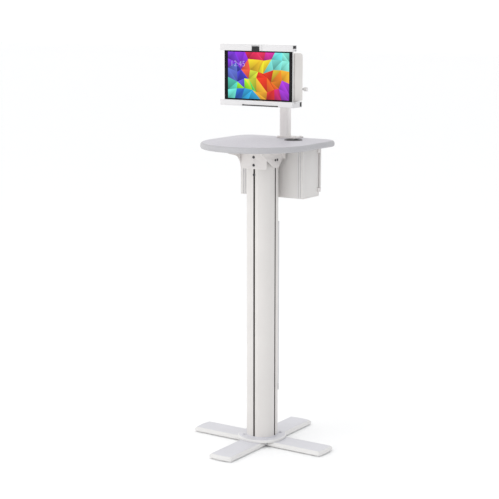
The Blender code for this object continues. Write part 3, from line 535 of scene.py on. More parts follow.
def build_stage():
    world = bpy.data.worlds.new("studio")
    world.use_nodes = True
    tree = world.node_tree
    direction = tree.nodes.new("ShaderNodeTexCoord")
    split = tree.nodes.new("ShaderNodeSeparateXYZ")
    tree.links.new(direction.outputs["Generated"], split.inputs["Vector"])
    warm_to_cool = ramp(tree, split.outputs["X"], [(0.0, (1.0, 1.0, 1.0)), (0.75, (0.80, 0.815, 0.835))])
    tree.links.new(warm_to_cool, tree.nodes["Background"].inputs["Color"])
    tree.nodes["Background"].inputs["Strength"].default_value = 1.06
    bpy.context.scene.world = world
    floor = link_mesh("floor", box_mesh((-30, -30, -0.05), (30, 30, 0)))
    made, tree, shader = new_material("pale_floor")
    shader.inputs["Base Color"].default_value = (0.99, 0.99, 0.99, 1.0)
    shader.inputs["Roughness"].default_value = 0.75
    floor.data.materials.append(made)
    add_area("key_light", (-1.6, -3.2, 3.4), (0, 0, 0.8), (2.6, 2.6), 25)
    add_area("low_front_light", (-1.0, -3.6, 0.9), (0, 0, 0.8), (2.2, 1.4), 9)
    bpy.context.scene.view_settings.view_transform = 'Standard'
    bpy.context.scene.view_settings.look = 'None'


# ================================================================ fasteners

def socket_screw(name, seat, axis, head_radius, head_height, body, finish, replaced=()):
    """A button-head screw with a hexagon socket: seat is the middle of the head's underside."""
    dome = [(0, head_height), (head_radius * 0.45, head_height)]
    dome += [(head_radius * math.sin(math.radians(a)),
              head_height * (0.35 + 0.65 * math.cos(math.radians(a))))
             for a in (35, 50, 65, 80)]
    dome += [(head_radius, head_height * 0.22), (head_radius, 0), (0, 0)]
    screw = turned(name, dome, seat, axis, 32)
    socket = cylinder_mesh(head_radius * 0.48, (head_height * 0.35, head_height * 2), seat, axis, 6)
    cut(screw, socket)
    smooth(screw, 40)
    return finish_piece(screw, finish, body, replaced)


# ================================================================ base

def split_by_slope(target, side_painted_light):
    """Give every face that doesn't look up the second material: a brighter, warmer copy of the coat, painted
    light on the side faces.
    """
    target.data.materials.append(side_painted_light)
    for face in target.data.polygons:
        if face.normal.z < 0.93:
            face.material_index = 1


LEG_TIP_BULGE = 0.005


def leg_section(bottom, top):
    """Inset and height up a leg's edge: a small bottom radius, a wall, and a softened top chamfer."""
    return [(0.0008, bottom), (0.0002, bottom + 0.0003), (0.0, bottom + 0.0009), (0.0, top - 0.0052),
            (0.0002, top - 0.0047), (0.0006, top - 0.0043), (0.0052, top - 0.0008), (0.0058, top - 0.0002),
            (0.0064, top), (0.0070, top)]


def leg_ring(start, reach, half_width, inset, z):
    """A leg's outline at one height: straight sides, small tip corners and a slightly bulged tip."""
    half = half_width - inset
    radius = (half_width ** 2 + LEG_TIP_BULGE ** 2) / (2 * LEG_TIP_BULGE)
    centre = reach - radius
    turn = math.degrees(math.asin(half / (radius - inset)))
    tip = arc(centre, 0, radius - inset, -turn, turn, 20)
    corner = 0.006
    outline = [(start, -half, 0), (*tip[0], corner)] + [(*p, 0) for p in tip[1:-1]]
    outline += [(*tip[-1], corner), (start, half, 0)]
    return [(x, y, z) for x, y in round_corners(outline, corner, 6, closed=True)]


def build_legs():
    for name, quarter_turns in (("right", 0), ("back", 1), ("left", 2), ("front", 3)):
        node = "leg_" + name
        low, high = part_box(node)
        reach = max(abs(low.x), abs(high.x), abs(low.y), abs(high.y))
        half_width = min(high.x - low.x, high.y - low.y) / 2
        start = reach - max(high.x - low.x, high.y - low.y)
        rings = [leg_ring(start, reach, half_width, inset, z) for inset, z in leg_section(low.z, high.z)]
        leg = loft("fine_" + node, rings)
        leg.data.transform(Matrix.Rotation(math.radians(90 * quarter_turns), 4, 'Z'))
        smooth(leg, 25)
        finish_piece(leg, LEG_WHITE, "root", (node,))
        # The leg's sides get the brighter copy of the coat: painted light.
        split_by_slope(leg, LEG_SIDE_PAINTED_LIGHT)
        pad_node = "foot_pad_" + name
        pad_low, pad_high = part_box(pad_node)
        centre = (pad_low + pad_high) / 2
        radius = (pad_high.x - pad_low.x) / 2
        pad = turned("fine_" + pad_node,
                     [(0, pad_high.z), (radius, pad_high.z), (radius, pad_low.z + 0.0008),
                      (radius - 0.001, pad_low.z),
                      (radius * 0.72, pad_low.z), (radius * 0.68, pad_low.z + 0.0006),
                      (radius * 0.42, pad_low.z + 0.0006), (radius * 0.38, pad_low.z), (0, pad_low.z)],
                     (centre.x, centre.y, 0), "Z", 48, 0.0002)
        finish_piece(pad, BLACK_RUBBER, "root", (pad_node,))


def build_hub():
    low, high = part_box("hub_plate")
    radius = (high.x - low.x) / 2
    disc = turned("fine_hub_plate",
                  [(0, high.z), (radius - 0.0022, high.z), (radius, high.z - 0.0022), (radius, low.z),
                   (0, low.z)],
                  (0, 0, 0), "Z", 128, 0.0009, fillet_steps=4)
    for side_x in (-1, 1):
        for side_y in (-1, 1):
            name = "hub_bolt_" + ("front_" if side_y < 0 else "rear_") + ("right" if side_x > 0 else "left")
            spot = middle(name)
            cut(disc, cylinder_mesh(0.0034, (low.z - 0.001, high.z + 0.001), (spot.x, spot.y, 0), "Z", 32))
            washer = turned("washer_" + name, [(0.0036, high.z + 0.0008), (0.0062, high.z + 0.0008),
                                               (0.0062, high.z + 0.0001), (0.0036, high.z + 0.0001)],
                            (spot.x, spot.y, 0), "Z", 32, 0.0002, closed=True)
            finish_piece(washer, LEG_WHITE, "root")
            socket_screw("fine_" + name, (spot.x, spot.y, high.z + 0.0008), "Z", 0.0053, 0.0028,
                         "root", LEG_WHITE, (name,))
    smooth(disc, 35)
    finish_piece(disc, LEG_WHITE, "root", ("hub_plate",))
    # The disc's rim gets the brighter copy of the coat: painted light.
    split_by_slope(disc, LEG_SIDE_PAINTED_LIGHT)
    low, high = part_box("hub_block")
    block = rounded_box("fine_hub_block", low, high, 0.003, 3)
    smooth(block)
    finish_piece(block, ZINC, "root", ("hub_block",))


# ================================================================ column

COLUMN_RADIUS = 0.051
COLUMN_FLAT = 0.049
CORE_RADIUS = 0.034
HALF_MOUTH = 0.003
HALF_CAVITY = 0.0065
LIP = 0.0035
CAVITY_DEPTH = 0.005


def column_side(radius, flat, half_mouth):
    """A quarter of the column's outline, about +X: a flat with its T-slot, then a round stretch."""
    half_flat = math.sqrt(radius ** 2 - flat ** 2)
    edge = math.degrees(math.atan2(half_flat, flat))
    back = flat - LIP
    floor = back - CAVITY_DEPTH
    slot = [(flat, -half_flat, 0), (flat, -half_mouth, 0.0006), (back, -half_mouth, 0.0003),
            (back, -HALF_CAVITY, 0.0004),
            (floor, -HALF_CAVITY, 0.0008), (floor, HALF_CAVITY, 0.0008), (back, HALF_CAVITY, 0.0004),
            (back, half_mouth, 0.0003), (flat, half_mouth, 0.0006), (flat, half_flat, 0)]
    curve = [(*p, 0) for p in arc(0, 0, radius, edge, 90 - edge, 28)[1:-1]]
    return slot + curve


def build_column():
    low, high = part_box("column")
    outline = []
    for quarter in range(4):
        turn = Matrix.Rotation(math.radians(90 * quarter), 2)
        for a, b, own in column_side(COLUMN_RADIUS, COLUMN_FLAT, HALF_MOUTH):
            outline.append((*(turn @ Vector((a, b))), own))
    outline = round_corners(outline, 0.0005, 3, closed=True)
    core = arc(0, 0, CORE_RADIUS, 0, 355, 71)
    column = plate("fine_column", [outline, core], "XY", (low.z, high.z))
    smooth(column, 28)
    finish_piece(column, COLUMN_WHITE, "root", ("column",))
    # Faces inside the T-slots get the near-black material: painted shade.
    column.data.materials.append(SLOT_PAINTED_SHADE)
    slot_floor = COLUMN_FLAT - LIP - CAVITY_DEPTH - 0.0002
    for face in column.data.polygons:
        across, out = sorted((abs(face.center.x), abs(face.center.y)))
        if across < HALF_CAVITY + 0.0002 and slot_floor < out < COLUMN_FLAT - 0.0007:
            face.material_index = 1
    collar = turned("column_foot_seam",
                    [(COLUMN_RADIUS - 0.0006, low.z + 0.0030), (COLUMN_RADIUS + 0.0009, low.z + 0.0022),
                     (COLUMN_RADIUS + 0.0014, low.z - 0.0002), (COLUMN_RADIUS - 0.0006, low.z - 0.0002)],
                    (0, 0, 0), "Z", 96, closed=True)
    finish_piece(collar, LEG_WHITE, "root")


# ================================================================ worktop

def offset_top(inset):
    """The worktop's D outline, moved inwards by inset."""
    low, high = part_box("worktop_board")
    half = high.x - inset
    centre_y = low.y + high.x
    rear = high.y - inset
    radius = 0.052 - inset
    front = arc(0, centre_y, half, 180, 360, 96)
    return front + arc(half - radius, rear - radius, radius, 0, 90, 20) + arc(radius - half, rear - radius,
                                                                              radius, 90, 180, 20)


def loft(name, rings, close_ends=True):
    """A closed body through rings of points with the same count, from its lowest to its highest."""
    work = bmesh.new()
    made_rings = [[work.verts.new(point) for point in ring] for ring in rings]
    count = len(rings[0])
    for lower, upper in zip(made_rings, made_rings[1:]):
        for step in range(count):
            after = (step + 1) % count
            work.faces.new((lower[step], lower[after], upper[after], upper[step]))
    if close_ends:
        work.faces.new(made_rings[0][::-1])
        work.faces.new(made_rings[-1])
    bmesh.ops.recalc_face_normals(work, faces=work.faces)
    made = link_mesh(name, store_mesh(name, work))
    smooth(made)
    return made


def build_worktop():
    low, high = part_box("worktop_board")
    rings = []
    top_radius, bottom_radius, steps = 0.0085, 0.006, 8
    for step in range(steps + 1):
        angle = math.radians(90 * step / steps)
        inset = bottom_radius * (1 - math.sin(angle))
        z = low.z + bottom_radius * (1 - math.cos(angle))
        rings.append([(x, y, z) for x, y in offset_top(inset)])
    for step in range(steps + 1):
        angle = math.radians(90 * step / steps)
        inset = top_radius * (1 - math.cos(angle))
        z = high.z - top_radius * (1 - math.sin(angle))
        rings.append([(x, y, z) for x, y in offset_top(inset)])
    board = loft("fine_worktop", rings)
    spot = middle("grommet_ring")
    cut(board, cylinder_mesh(0.0278, (low.z - 0.001, high.z + 0.001), (spot.x, spot.y, 0), "Z", 96))
    board.data.materials.clear()
    board.data.materials.append(LAMINATE)
    board.data.materials.append(EDGE_PAINTED_SHADE_LAMINATE)
    # Faces that don't look straight up get the darker copy: painted shade on the edges and underside.
    for face in board.data.polygons:
        face.material_index = 0 if face.normal.z > 0.96 else 1
    smooth(board, 40)
    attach(board, "root")
    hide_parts("worktop_board")


GROMMET_BORE = 0.0245


def build_grommet():
    spot = middle("grommet_ring")
    low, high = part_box("grommet_ring")
    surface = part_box("worktop_board")[1].z
    outer = (high.x - low.x) / 2
    bore = GROMMET_BORE
    ring = turned("fine_grommet_ring",
                  [(bore, high.z), (outer - 0.0012, high.z), (outer, surface + 0.0002),
                   (outer - 0.0026, surface + 0.0002),
                   (outer - 0.0028, low.z), (bore - 0.002, low.z), (bore - 0.002, surface - 0.003),
                   (bore, surface - 0.003)],
                  (spot.x, spot.y, 0), "Z", 96, 0.0004, closed=True)
    finish_piece(ring, BLACK_PLASTIC, "root", ("grommet_ring",))
    cap_low, cap_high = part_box("grommet_cap")
    radius = bore - 0.0003
    cap = turned("fine_grommet_cap",
                 [(0, cap_high.z - 0.0007), (radius * 0.80, cap_high.z - 0.0007), (radius * 0.84, cap_high.z),
                  (radius, cap_high.z), (radius, cap_low.z), (0, cap_low.z)],
                 (spot.x, spot.y, 0), "Z", 96, 0.0003)
    notch = rounded_rectangle((spot.x - 0.007, spot.x + 0.007), (spot.y + 0.008, spot.y + 0.035), 0.0069)
    cut(cap, plate_mesh([notch], "XY", (surface - 0.01, surface + 0.01)))
    smooth(cap)
    finish_piece(cap, BLACK_PLASTIC, "grommet_cap", ("grommet_cap",))


# ================================================================ brackets

SHEET = 0.0025
BRACKET_CORNER = 0.008
BRACKET_EDGE = 0.0005
SIDE_SCREW_Z = 0.938
SIDE_SCREW_OFFSET = 0.006
SIDE_FLANGE_REACH = 0.080
SIDE_FOLD_REACH = 0.0615


def build_front_bracket():
    low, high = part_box("front_bracket")
    plate_front = -COLUMN_FLAT - 0.0003 - SHEET
    plate_rear = plate_front + SHEET
    half = high.x
    side, bottom = half - BRACKET_CORNER, low.z + BRACKET_CORNER
    outline = (arc(-side, bottom, BRACKET_CORNER, 180, 270, 8) + arc(side, bottom, BRACKET_CORNER, 270, 360,
                                                                     8)
               + [(half, high.z), (-half, high.z)])
    holes = [arc(0, middle(n).z, 0.003, 0, 345, 23) for n in ("front_screw_upper", "front_screw_lower")]
    bracket = link_mesh("fine_front_bracket", plate_mesh([outline] + holes, "XZ", (plate_front, plate_rear)))
    join(bracket, box_mesh((-half + 0.002, low.y, high.z - SHEET),
                           (half - 0.002, plate_front + 0.001, high.z)))
    add_bevel(bracket, BRACKET_EDGE, 2, 40)
    apply_modifiers(bracket)
    smooth(bracket)
    finish_piece(bracket, WHITE, "root", ("front_bracket",))
    for name in ("front_screw_upper", "front_screw_lower"):
        seat = (0, plate_front - 0.0001, middle(name).z)
        socket_screw("fine_" + name, seat, "-Y", 0.0043, 0.0028, "root", DARK_STEEL, (name,))
    socket_screw("fine_slot_stop", (0, -COLUMN_FLAT - 0.0001, middle("slot_stop").z), "-Y", 0.0046, 0.0020,
                 "root", DARK_STEEL, ("slot_stop",))


def side_bracket(node, side, outline, front):
    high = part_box(node)[1]
    inner, outer = side * (COLUMN_FLAT + 0.0003), side * (COLUMN_FLAT + 0.0003 + SHEET)
    rear = high.y
    holes = [arc(offset, SIDE_SCREW_Z, 0.0021, 0, 340, 17) for offset in (-SIDE_SCREW_OFFSET,
                                                                          SIDE_SCREW_OFFSET)]
    bracket = link_mesh("fine_" + node,
                        plate_mesh([outline] + holes, "YZ", (min(inner, outer), max(inner, outer))))
    reach = sorted((side * (abs(outer) - 0.001), side * SIDE_FLANGE_REACH))
    join(bracket, box_mesh((reach[0], front + 0.004, high.z - SHEET), (reach[1], rear - 0.001, high.z)))
    fold = sorted((side * (abs(outer) - 0.001), side * SIDE_FOLD_REACH))
    join(bracket, box_mesh((fold[0], rear - SHEET, SIDE_SCREW_Z + 0.001), (fold[1], rear, high.z - 0.0005)))
    add_bevel(bracket, BRACKET_EDGE, 2, 40)
    apply_modifiers(bracket)
    smooth(bracket)
    finish_piece(bracket, WHITE, "root", (node,))
    axis = "X" if side > 0 else "-X"
    for place, offset in (("front", -SIDE_SCREW_OFFSET), ("rear", SIDE_SCREW_OFFSET)):
        seat = (outer + side * 0.0001, offset, SIDE_SCREW_Z)
        replaced = ("right_side_screw_" + place,) if side > 0 else ()
        name = ("fine_right" if side > 0 else "left") + "_side_screw_" + place
        socket_screw(name, seat, axis, 0.0038, 0.0022, "root", DARK_STEEL, replaced)


def build_side_brackets():
    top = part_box("right_side_bracket")[1].z
    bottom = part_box("right_side_bracket")[0].z
    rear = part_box("right_side_bracket")[1].y
    half_tip = 0.0135
    right = round_corners([(-half_tip, bottom, 0.002), (half_tip, bottom, 0.002), (rear, 0.937, 0.003),
                           (rear, top, 0),
                           (-0.104, top, 0)], 0.002, 4, closed=True)
    side_bracket("right_side_bracket", 1, right, -0.104)
    concave = arc(-0.0950, 0.9110, 0.0455, 78, 5, 24)
    left = ([(rear, 0.9370), (rear, top), (-0.1275, top), (-0.1275, 0.9662), (-0.1120, 0.9610)] + concave
            + [(half_tip, bottom)])
    side_bracket("left_side_bracket", -1, left, -0.1275)


# ================================================================ storage box

BOX_HALF_WIDTH = 0.120
BOX_REAR = 0.150
BOX_WALL = 0.0015
BOX_FLANGE = 0.006
BUSHING_HOLE = 0.0113
HINGE_BARREL = 0.0034
HINGE_LUG = 0.013
DOOR_FRONT, DOOR_REAR = 0.1503, 0.1550
DOOR_RIGHT = 0.1185


def build_box():
    low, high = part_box("box_body")
    half, wall = BOX_HALF_WIDTH, BOX_WALL
    front, rear = low.y, BOX_REAR
    body = link_mesh("fine_box_body", box_mesh((-half, front, low.z), (half, rear, high.z)))
    add_bevel(body, 0.0018, 3)
    apply_modifiers(body)
    cut(body, box_mesh((-half + wall, front + wall, low.z + wall), (half - wall, rear - wall, high.z - wall)))
    mouth = half - BOX_FLANGE
    cut(body, box_mesh((-mouth, rear - 0.004, low.z + BOX_FLANGE),
                       (mouth, rear + 0.004, high.z - BOX_FLANGE)))
    grommet = middle("grommet_ring")
    cut(body, cylinder_mesh(GROMMET_BORE, (high.z - 0.004, high.z + 0.004), (grommet.x, grommet.y, 0), "Z",
                            48))
    bushing = middle("cable_bushing")
    cut(body, cylinder_mesh(BUSHING_HOLE, (low.z - 0.004, low.z + 0.004), (bushing.x, bushing.y, 0), "Z", 48))
    smooth(body)
    finish_piece(body, BOX_WHITE, "root", ("box_body",))
    for side in (-1, 1):
        for place, offset in (("inner", 0.0190), ("outer", 0.0110)):
            x = side * (half - offset)
            strip = rounded_box(f"box_fold_{'right' if side > 0 else 'left'}_{place}",
                                (x - 0.0013, front - 0.0012, low.z + 0.002),
                                (x + 0.0013, front + 0.0006, high.z - 0.001),
                                0.0005, 3)
            finish_piece(strip, RAIL_WHITE, "root")
            # A thin dark strip beside each fold: painted shade line.
            seam = rounded_box(f"box_seam_{'right' if side > 0 else 'left'}_{place}",
                               (x + 0.0013, front - 0.0003, low.z + 0.002),
                               (x + 0.0023, front + 0.0006, high.z - 0.001),
                               0.0001, 1)
            finish_piece(seam, SEAM_PAINTED_SHADE, "root")
    lip = rounded_box("box_floor_lip", (-half + 0.001, front + 0.001, low.z - 0.0002),
                      (half + 0.0006, rear - 0.001, low.z + 0.0022),
                      0.0006, 2)
    cut(lip, cylinder_mesh(BUSHING_HOLE, (low.z - 0.004, low.z + 0.004), (bushing.x, bushing.y, 0), "Z", 48))
    cut(lip, box_mesh((-half + 0.006, front + 0.006, low.z - 0.01),
                      (half - 0.006, rear - 0.006, low.z + 0.01)))
    smooth(lip)
    finish_piece(lip, WHITE, "root")
    hinge = middle("door_hinge_pin")
    pin_low, pin_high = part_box("door_hinge_pin")
    for name, z in (("lower", 0.825), ("upper", 0.952)):
        lug = link_mesh("hinge_lug_" + name,
                        box_mesh((half - 0.0005, rear - 0.010, z),
                                 (hinge.x + 0.0010, hinge.y, z + HINGE_LUG)))
        join(lug, cylinder_mesh(HINGE_BARREL, (z, z + HINGE_LUG), (hinge.x, hinge.y, 0), "Z", 40))
        add_bevel(lug, 0.0004, 2, 40)
        apply_modifiers(lug)
        smooth(lug)
        finish_piece(lug, WHITE, "root")
    pin = turned("fine_door_hinge_pin",
                 [(0, pin_high.z), (0.0017, pin_high.z), (0.0017, pin_low.z), (0, pin_low.z)],
                 (hinge.x, hinge.y, 0), "Z", 32, 0.0004)
    finish_piece(pin, ZINC, "root", ("door_hinge_pin",))
    bush_low, bush_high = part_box("cable_bushing")
    outer = (bush_high.x - bush_low.x) / 2
    ring = turned("fine_cable_bushing",
                  [(0.008, bush_high.z), (0.0108, bush_high.z), (0.0108, low.z - 0.0002),
                   (outer, low.z - 0.0002),
                   (outer, bush_low.z), (0.008, bush_low.z)],
                  (bushing.x, bushing.y, 0), "Z", 64, 0.0004, closed=True)
    finish_piece(ring, BLACK_RUBBER, "root", ("cable_bushing",))
    adapter_low, adapter_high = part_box("power_adapter")
    adapter = rounded_box("fine_power_adapter", adapter_low, adapter_high, 0.004, 4)
    smooth(adapter)
    finish_piece(adapter, BLACK_PLASTIC, "root", ("power_adapter",))


def build_door():
    low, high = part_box("box_door")
    hinge = middle("door_hinge_pin")
    front, rear = DOOR_FRONT, DOOR_REAR
    right, left = DOOR_RIGHT, low.x
    rim = BOX_WALL
    door = link_mesh("fine_box_door", box_mesh((left, front, low.z), (right, rear, high.z)))
    add_bevel(door, 0.0012, 3)
    apply_modifiers(door)
    cut(door, box_mesh((left + rim, front - 0.002, low.z + rim), (right - rim, rear - rim, high.z - rim)))
    knuckle = (0.8383, 0.9517)
    join(door, box_mesh((right - 0.001, rear - rim, knuckle[0]), (hinge.x - 0.0025, rear, knuckle[1])))
    join(door, cylinder_mesh(HINGE_BARREL, knuckle, (hinge.x, hinge.y, 0), "Z", 40))
    cut(door, cylinder_mesh(0.0021, (knuckle[0] - 0.002, knuckle[1] + 0.002), (hinge.x, hinge.y, 0), "Z", 40))
    lock = middle("lock_body")
    cut(door, cylinder_mesh(0.0083, (front - 0.01, rear + 0.01), (lock.x, 0, lock.z), "Y", 48))
    for z in (0.829, 0.957):
        for step in range(9):
            x = -0.040 + step * 0.010
            vent = rounded_rectangle((x - 0.0014, x + 0.0014), (z - 0.006, z + 0.006), 0.00139, 4)
            cut(door, plate_mesh([vent], "XZ", (rear - 0.004, rear + 0.002)))
    smooth(door)
    finish_piece(door, BOX_WHITE, "box_door", ("box_door",))
    body = turned("fine_lock_body",
                  [(0.0062, rear + 0.0022), (0.0093, rear + 0.0022), (0.0105, rear + 0.0003),
                   (0.008, rear + 0.0003),
                   (0.008, rear - 0.012), (0.0062, rear - 0.012)],
                  (lock.x, 0, lock.z), "Y", 64, 0.0003, closed=True)
    finish_piece(body, ZINC, "box_door", ("lock_body",))
    plug = turned("fine_lock_barrel",
                  [(0, rear + 0.0018), (0.0054, rear + 0.0018), (0.0059, rear + 0.0012),
                   (0.0059, rear - 0.0145),
                   (0, rear - 0.0145)], (lock.x, 0, lock.z), "Y", 64, 0.0002)
    cut(plug, box_mesh((lock.x - 0.0006, rear + 0.0002, lock.z - 0.0035),
                       (lock.x + 0.0006, rear + 0.004, lock.z + 0.0035)))
    cam = rounded_rectangle((lock.x - 0.005, lock.x + 0.005), (lock.z - 0.018, lock.z + 0.006), 0.0045)
    join(plug, plate_mesh([cam], "XZ", (rear - 0.0142, rear - 0.0122)))
    smooth(plug)
    finish_piece(plug, ZINC, "door_lock", ("lock_barrel",))


# ================================================================ raceway

def build_raceway():
    low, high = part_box("raceway_channel")
    cover_low, cover_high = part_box("raceway_cover")
    cap_low, cap_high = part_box("raceway_end_cap")
    half, wall = high.x, 0.0016
    channel = round_corners([(-half, low.y, 0.001), (half, low.y, 0.001), (half, high.y, 0.0003),
                             (half - wall, high.y, 0.0003), (half - wall, low.y + wall, 0.0006),
                             (-half + wall, low.y + wall, 0.0006), (-half + wall, high.y, 0.0003),
                             (-half, high.y, 0.0003)], 0.0005, 3, closed=True)
    made = plate("fine_raceway_channel", [channel], "XY", (low.z, high.z))
    finish_piece(made, RACEWAY_WHITE, "root", ("raceway_channel",))
    cover = round_corners([(-half, cover_low.y, 0.0003), (half, cover_low.y, 0.0003),
                           (half, cover_high.y, 0.0013),
                           (-half, cover_high.y, 0.0013)], 0.001, 5, closed=True)
    made = plate("fine_raceway_cover", [cover], "XY", (low.z, high.z))
    finish_piece(made, RACEWAY_WHITE, "root", ("raceway_cover",))
    cap = rounded_box("fine_raceway_end_cap", cap_low, cap_high, 0.0022, 4)
    smooth(cap)
    finish_piece(cap, GREY_PLASTIC, "root", ("raceway_end_cap",))


# ================================================================ post and tilt joint

def build_post():
    low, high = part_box("post_tube")
    outer = rounded_rectangle((low.x, high.x), (low.y, high.y), 0.0075, 12)
    inner = rounded_rectangle((low.x + 0.0025, high.x - 0.0025), (low.y + 0.0025, high.y - 0.0025), 0.005, 12)
    tube = plate("fine_post_tube", [outer, inner], "XY", (low.z, high.z), 0.0003, 2, 60)
    # The post gets the lightened coat: painted light.
    finish_piece(tube, POST_PAINTED_LIGHT, "root", ("post_tube",))
    cap = plate("post_top_cap", [outer], "XY", (high.z + 0.0002, high.z + 0.0032), 0.0012, 3, 50)
    finish_piece(cap, GREY_PLASTIC, "root")
    foot_low, foot_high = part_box("post_foot_plate")
    foot = plate("fine_post_foot_plate",
                 [rounded_rectangle((foot_low.x, foot_high.x), (foot_low.y, foot_high.y), 0.006, 10)],
                 "XY", (foot_low.z, foot_high.z), 0.0012, 3, 50)
    finish_piece(foot, WHITE, "root", ("post_foot_plate",))
    for name, x, y in (("left_front", foot_low.x + 0.0045, foot_low.y + 0.007),
                       ("left_rear", foot_low.x + 0.0045, foot_high.y - 0.007),
                       ("right_front", foot_high.x - 0.008, foot_low.y + 0.008),
                       ("right_rear", foot_high.x - 0.008, foot_high.y - 0.008)):
        radius = 0.0030 if name.startswith("left") else 0.0040
        socket_screw("post_foot_screw_" + name, (x, y, foot_high.z + 0.0001), "Z", radius, 0.0018,
                     "root", WHITE)
    weld = plate("post_weld",
                 [rounded_rectangle((low.x - 0.0014, high.x + 0.0014), (low.y - 0.0014, high.y + 0.0014),
                                    0.0085, 12), outer],
                 "XY", (foot_high.z + 0.0001, foot_high.z + 0.0016), 0.0006, 2, 50)
    finish_piece(weld, WHITE, "root")


EAR_RADIUS = 0.0095
EAR_HALF_ROOT = 0.016
BOLT_HOLE = 0.0039


def ear(axis_y, axis_z, radius, start, end, far_y, half_height):
    nose = arc(axis_y, axis_z, radius, start, end, 28)
    sign = 1 if start > 0 else -1
    return nose + [(far_y, axis_z - sign * half_height), (far_y, axis_z + sign * half_height)]


def build_tilt_joint():
    axis = next(j for j in frame["joints"] if j["name"] == "head_tilt")["pos_m"]
    low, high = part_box("post_clevis")
    post_face = high.y
    clevis = link_mesh("fine_post_clevis",
                       box_mesh((low.x, post_face - 0.005, low.z), (high.x, post_face, high.z)))
    add_bevel(clevis, 0.0012, 3)
    apply_modifiers(clevis)
    for side in (-1, 1):
        span = sorted((side * 0.0125, side * 0.0165))
        join(clevis, plate_mesh([ear(axis[1], axis[2], EAR_RADIUS, 90, 270, post_face - 0.001,
                                     EAR_HALF_ROOT)], "YZ", span))
    cut(clevis, cylinder_mesh(BOLT_HOLE, (-0.03, 0.03), (0, axis[1], axis[2]), "X", 40))
    smooth(clevis)
    finish_piece(clevis, WHITE, "root", ("post_clevis",))
    lug_low, lug_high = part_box("tilt_lug")
    face = lug_low.y
    lug = link_mesh("fine_tilt_lug",
                    box_mesh((lug_low.x, face, lug_low.z), (lug_high.x, face + 0.004, lug_high.z)))
    add_bevel(lug, 0.0012, 3)
    apply_modifiers(lug)
    join(lug, plate_mesh([ear(axis[1], axis[2], EAR_RADIUS, -90, 90, face + 0.002, EAR_HALF_ROOT)], "YZ",
                         (-0.012, 0.012)))
    cut(lug, cylinder_mesh(BOLT_HOLE, (-0.03, 0.03), (0, axis[1], axis[2]), "X", 40))
    smooth(lug)
    finish_piece(lug, WHITE, "tilt_head", ("tilt_lug",))
    for side_x in (-1, 1):
        for side_z in (-1, 1):
            name = "lug_screw_" + ("upper_" if side_z > 0 else "lower_") + ("right" if side_x > 0 else "left")
            seat = (side_x * 0.0225, face + 0.0041, axis[2] + side_z * 0.020)
            socket_screw(name, seat, "Y", 0.0042, 0.0022, "tilt_head", ZINC)
    bolt_low, bolt_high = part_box("tilt_bolt")
    head = bolt_low.x
    bolt = turned("fine_tilt_bolt",
                  [(0, bolt_high.x), (0.0035, bolt_high.x), (0.0035, head + 0.004), (0.0068, head + 0.004),
                   (0.0068, head),
                   (0, head)], (0, axis[1], axis[2]), "X", 48, 0.0004)
    finish_piece(bolt, ZINC, "tilt_knob", ("tilt_bolt",))
    knob_low, knob_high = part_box("tilt_knob")
    outer = (knob_high.y - knob_low.y) / 2
    flutes = 14
    outline = []
    for step in range(flutes * 8):
        angle = 2 * math.pi * step / (flutes * 8)
        reach = outer - 0.0005 * (0.5 - 0.5 * math.cos(flutes * angle))
        outline.append((axis[1] + reach * math.cos(angle), axis[2] + reach * math.sin(angle)))
    knob = plate("fine_tilt_knob", [outline], "YZ", (knob_low.x, knob_high.x), 0.0010, 3, 60)
    finish_piece(knob, WHITE_PLASTIC, "tilt_knob", ("tilt_knob",))


# ================================================================ tablet holder

GROOVE_FRONT = -0.0286
GROOVE_REAR = -0.0185


def rail_piece(name, outline, chamber, half_length, finish, body, replaced):
    made = plate(name, [outline] + [chamber], "YZ", (-half_length, half_length), 0.0004, 2, 50)
    inside = [(y, z) for y, z in chamber]
    # Black plugs set just inside both open ends of the chamber: painted shade in the hollow ends.
    for side in (-1, 1):
        span = sorted((side * (half_length - 0.0035), side * (half_length - 0.0015)))
        plug = plate(name + ("_shade_plug_right" if side > 0 else "_shade_plug_left"), [inside], "YZ", span)
        finish_piece(plug, BLACK_PLASTIC, body)
    return finish_piece(made, finish, body, replaced)


def build_tray():
    low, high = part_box("bottom_tray")
    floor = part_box("screen_glass")[0].z - 0.0005
    outline = round_corners([(low.y, low.z, 0.0028), (high.y, low.z, 0.0012), (high.y, high.z, 0.0012),
                             (GROOVE_REAR, high.z, 0.0004),
                             (GROOVE_REAR, floor, 0.0004), (GROOVE_FRONT, floor, 0.0004),
                             (GROOVE_FRONT, high.z, 0.001),
                             (low.y, high.z, 0.0028)], 0.001, 5, closed=True)
    chamber = round_corners([(0.0040, low.z + 0.002), (high.y - 0.002, low.z + 0.002),
                             (high.y - 0.002, high.z - 0.002),
                             (0.0040, high.z - 0.002)], 0.001, 4, closed=True)
    rail_piece("fine_bottom_tray", outline, chamber, high.x, RAIL_WHITE, "tilt_head",
               ("bottom_tray",))
    # The black rubber strip along the tray's lower front edge stands in for the shade in the slot there:
    # painted shade.
    strip_low, strip_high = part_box("tray_strip")
    strip = rounded_box("fine_tray_strip_painted_shade", strip_low, strip_high, 0.0004, 3)
    smooth(strip)
    finish_piece(strip, BLACK_RUBBER, "tilt_head", ("tray_strip",))
    button = turned("tray_strip_stud",
                    [(0, 0.0010), (0.0022, 0.0010), (0.0026, 0.0004), (0.0026, 0), (0, 0)],
                    (strip_low.x + 0.0035, strip_low.y - 0.0001, strip_high.z - 0.0012), "-Y", 32, 0.0003)
    finish_piece(button, BLACK_RUBBER, "tilt_head")
    pad = rounded_box("tray_groove_pad", (-0.118, GROOVE_FRONT + 0.0002, floor - 0.0001),
                      (0.118, GROOVE_FRONT + 0.0005, high.z - 0.0006),
                      0.0001, 1)
    finish_piece(pad, GREY_RUBBER, "tilt_head")


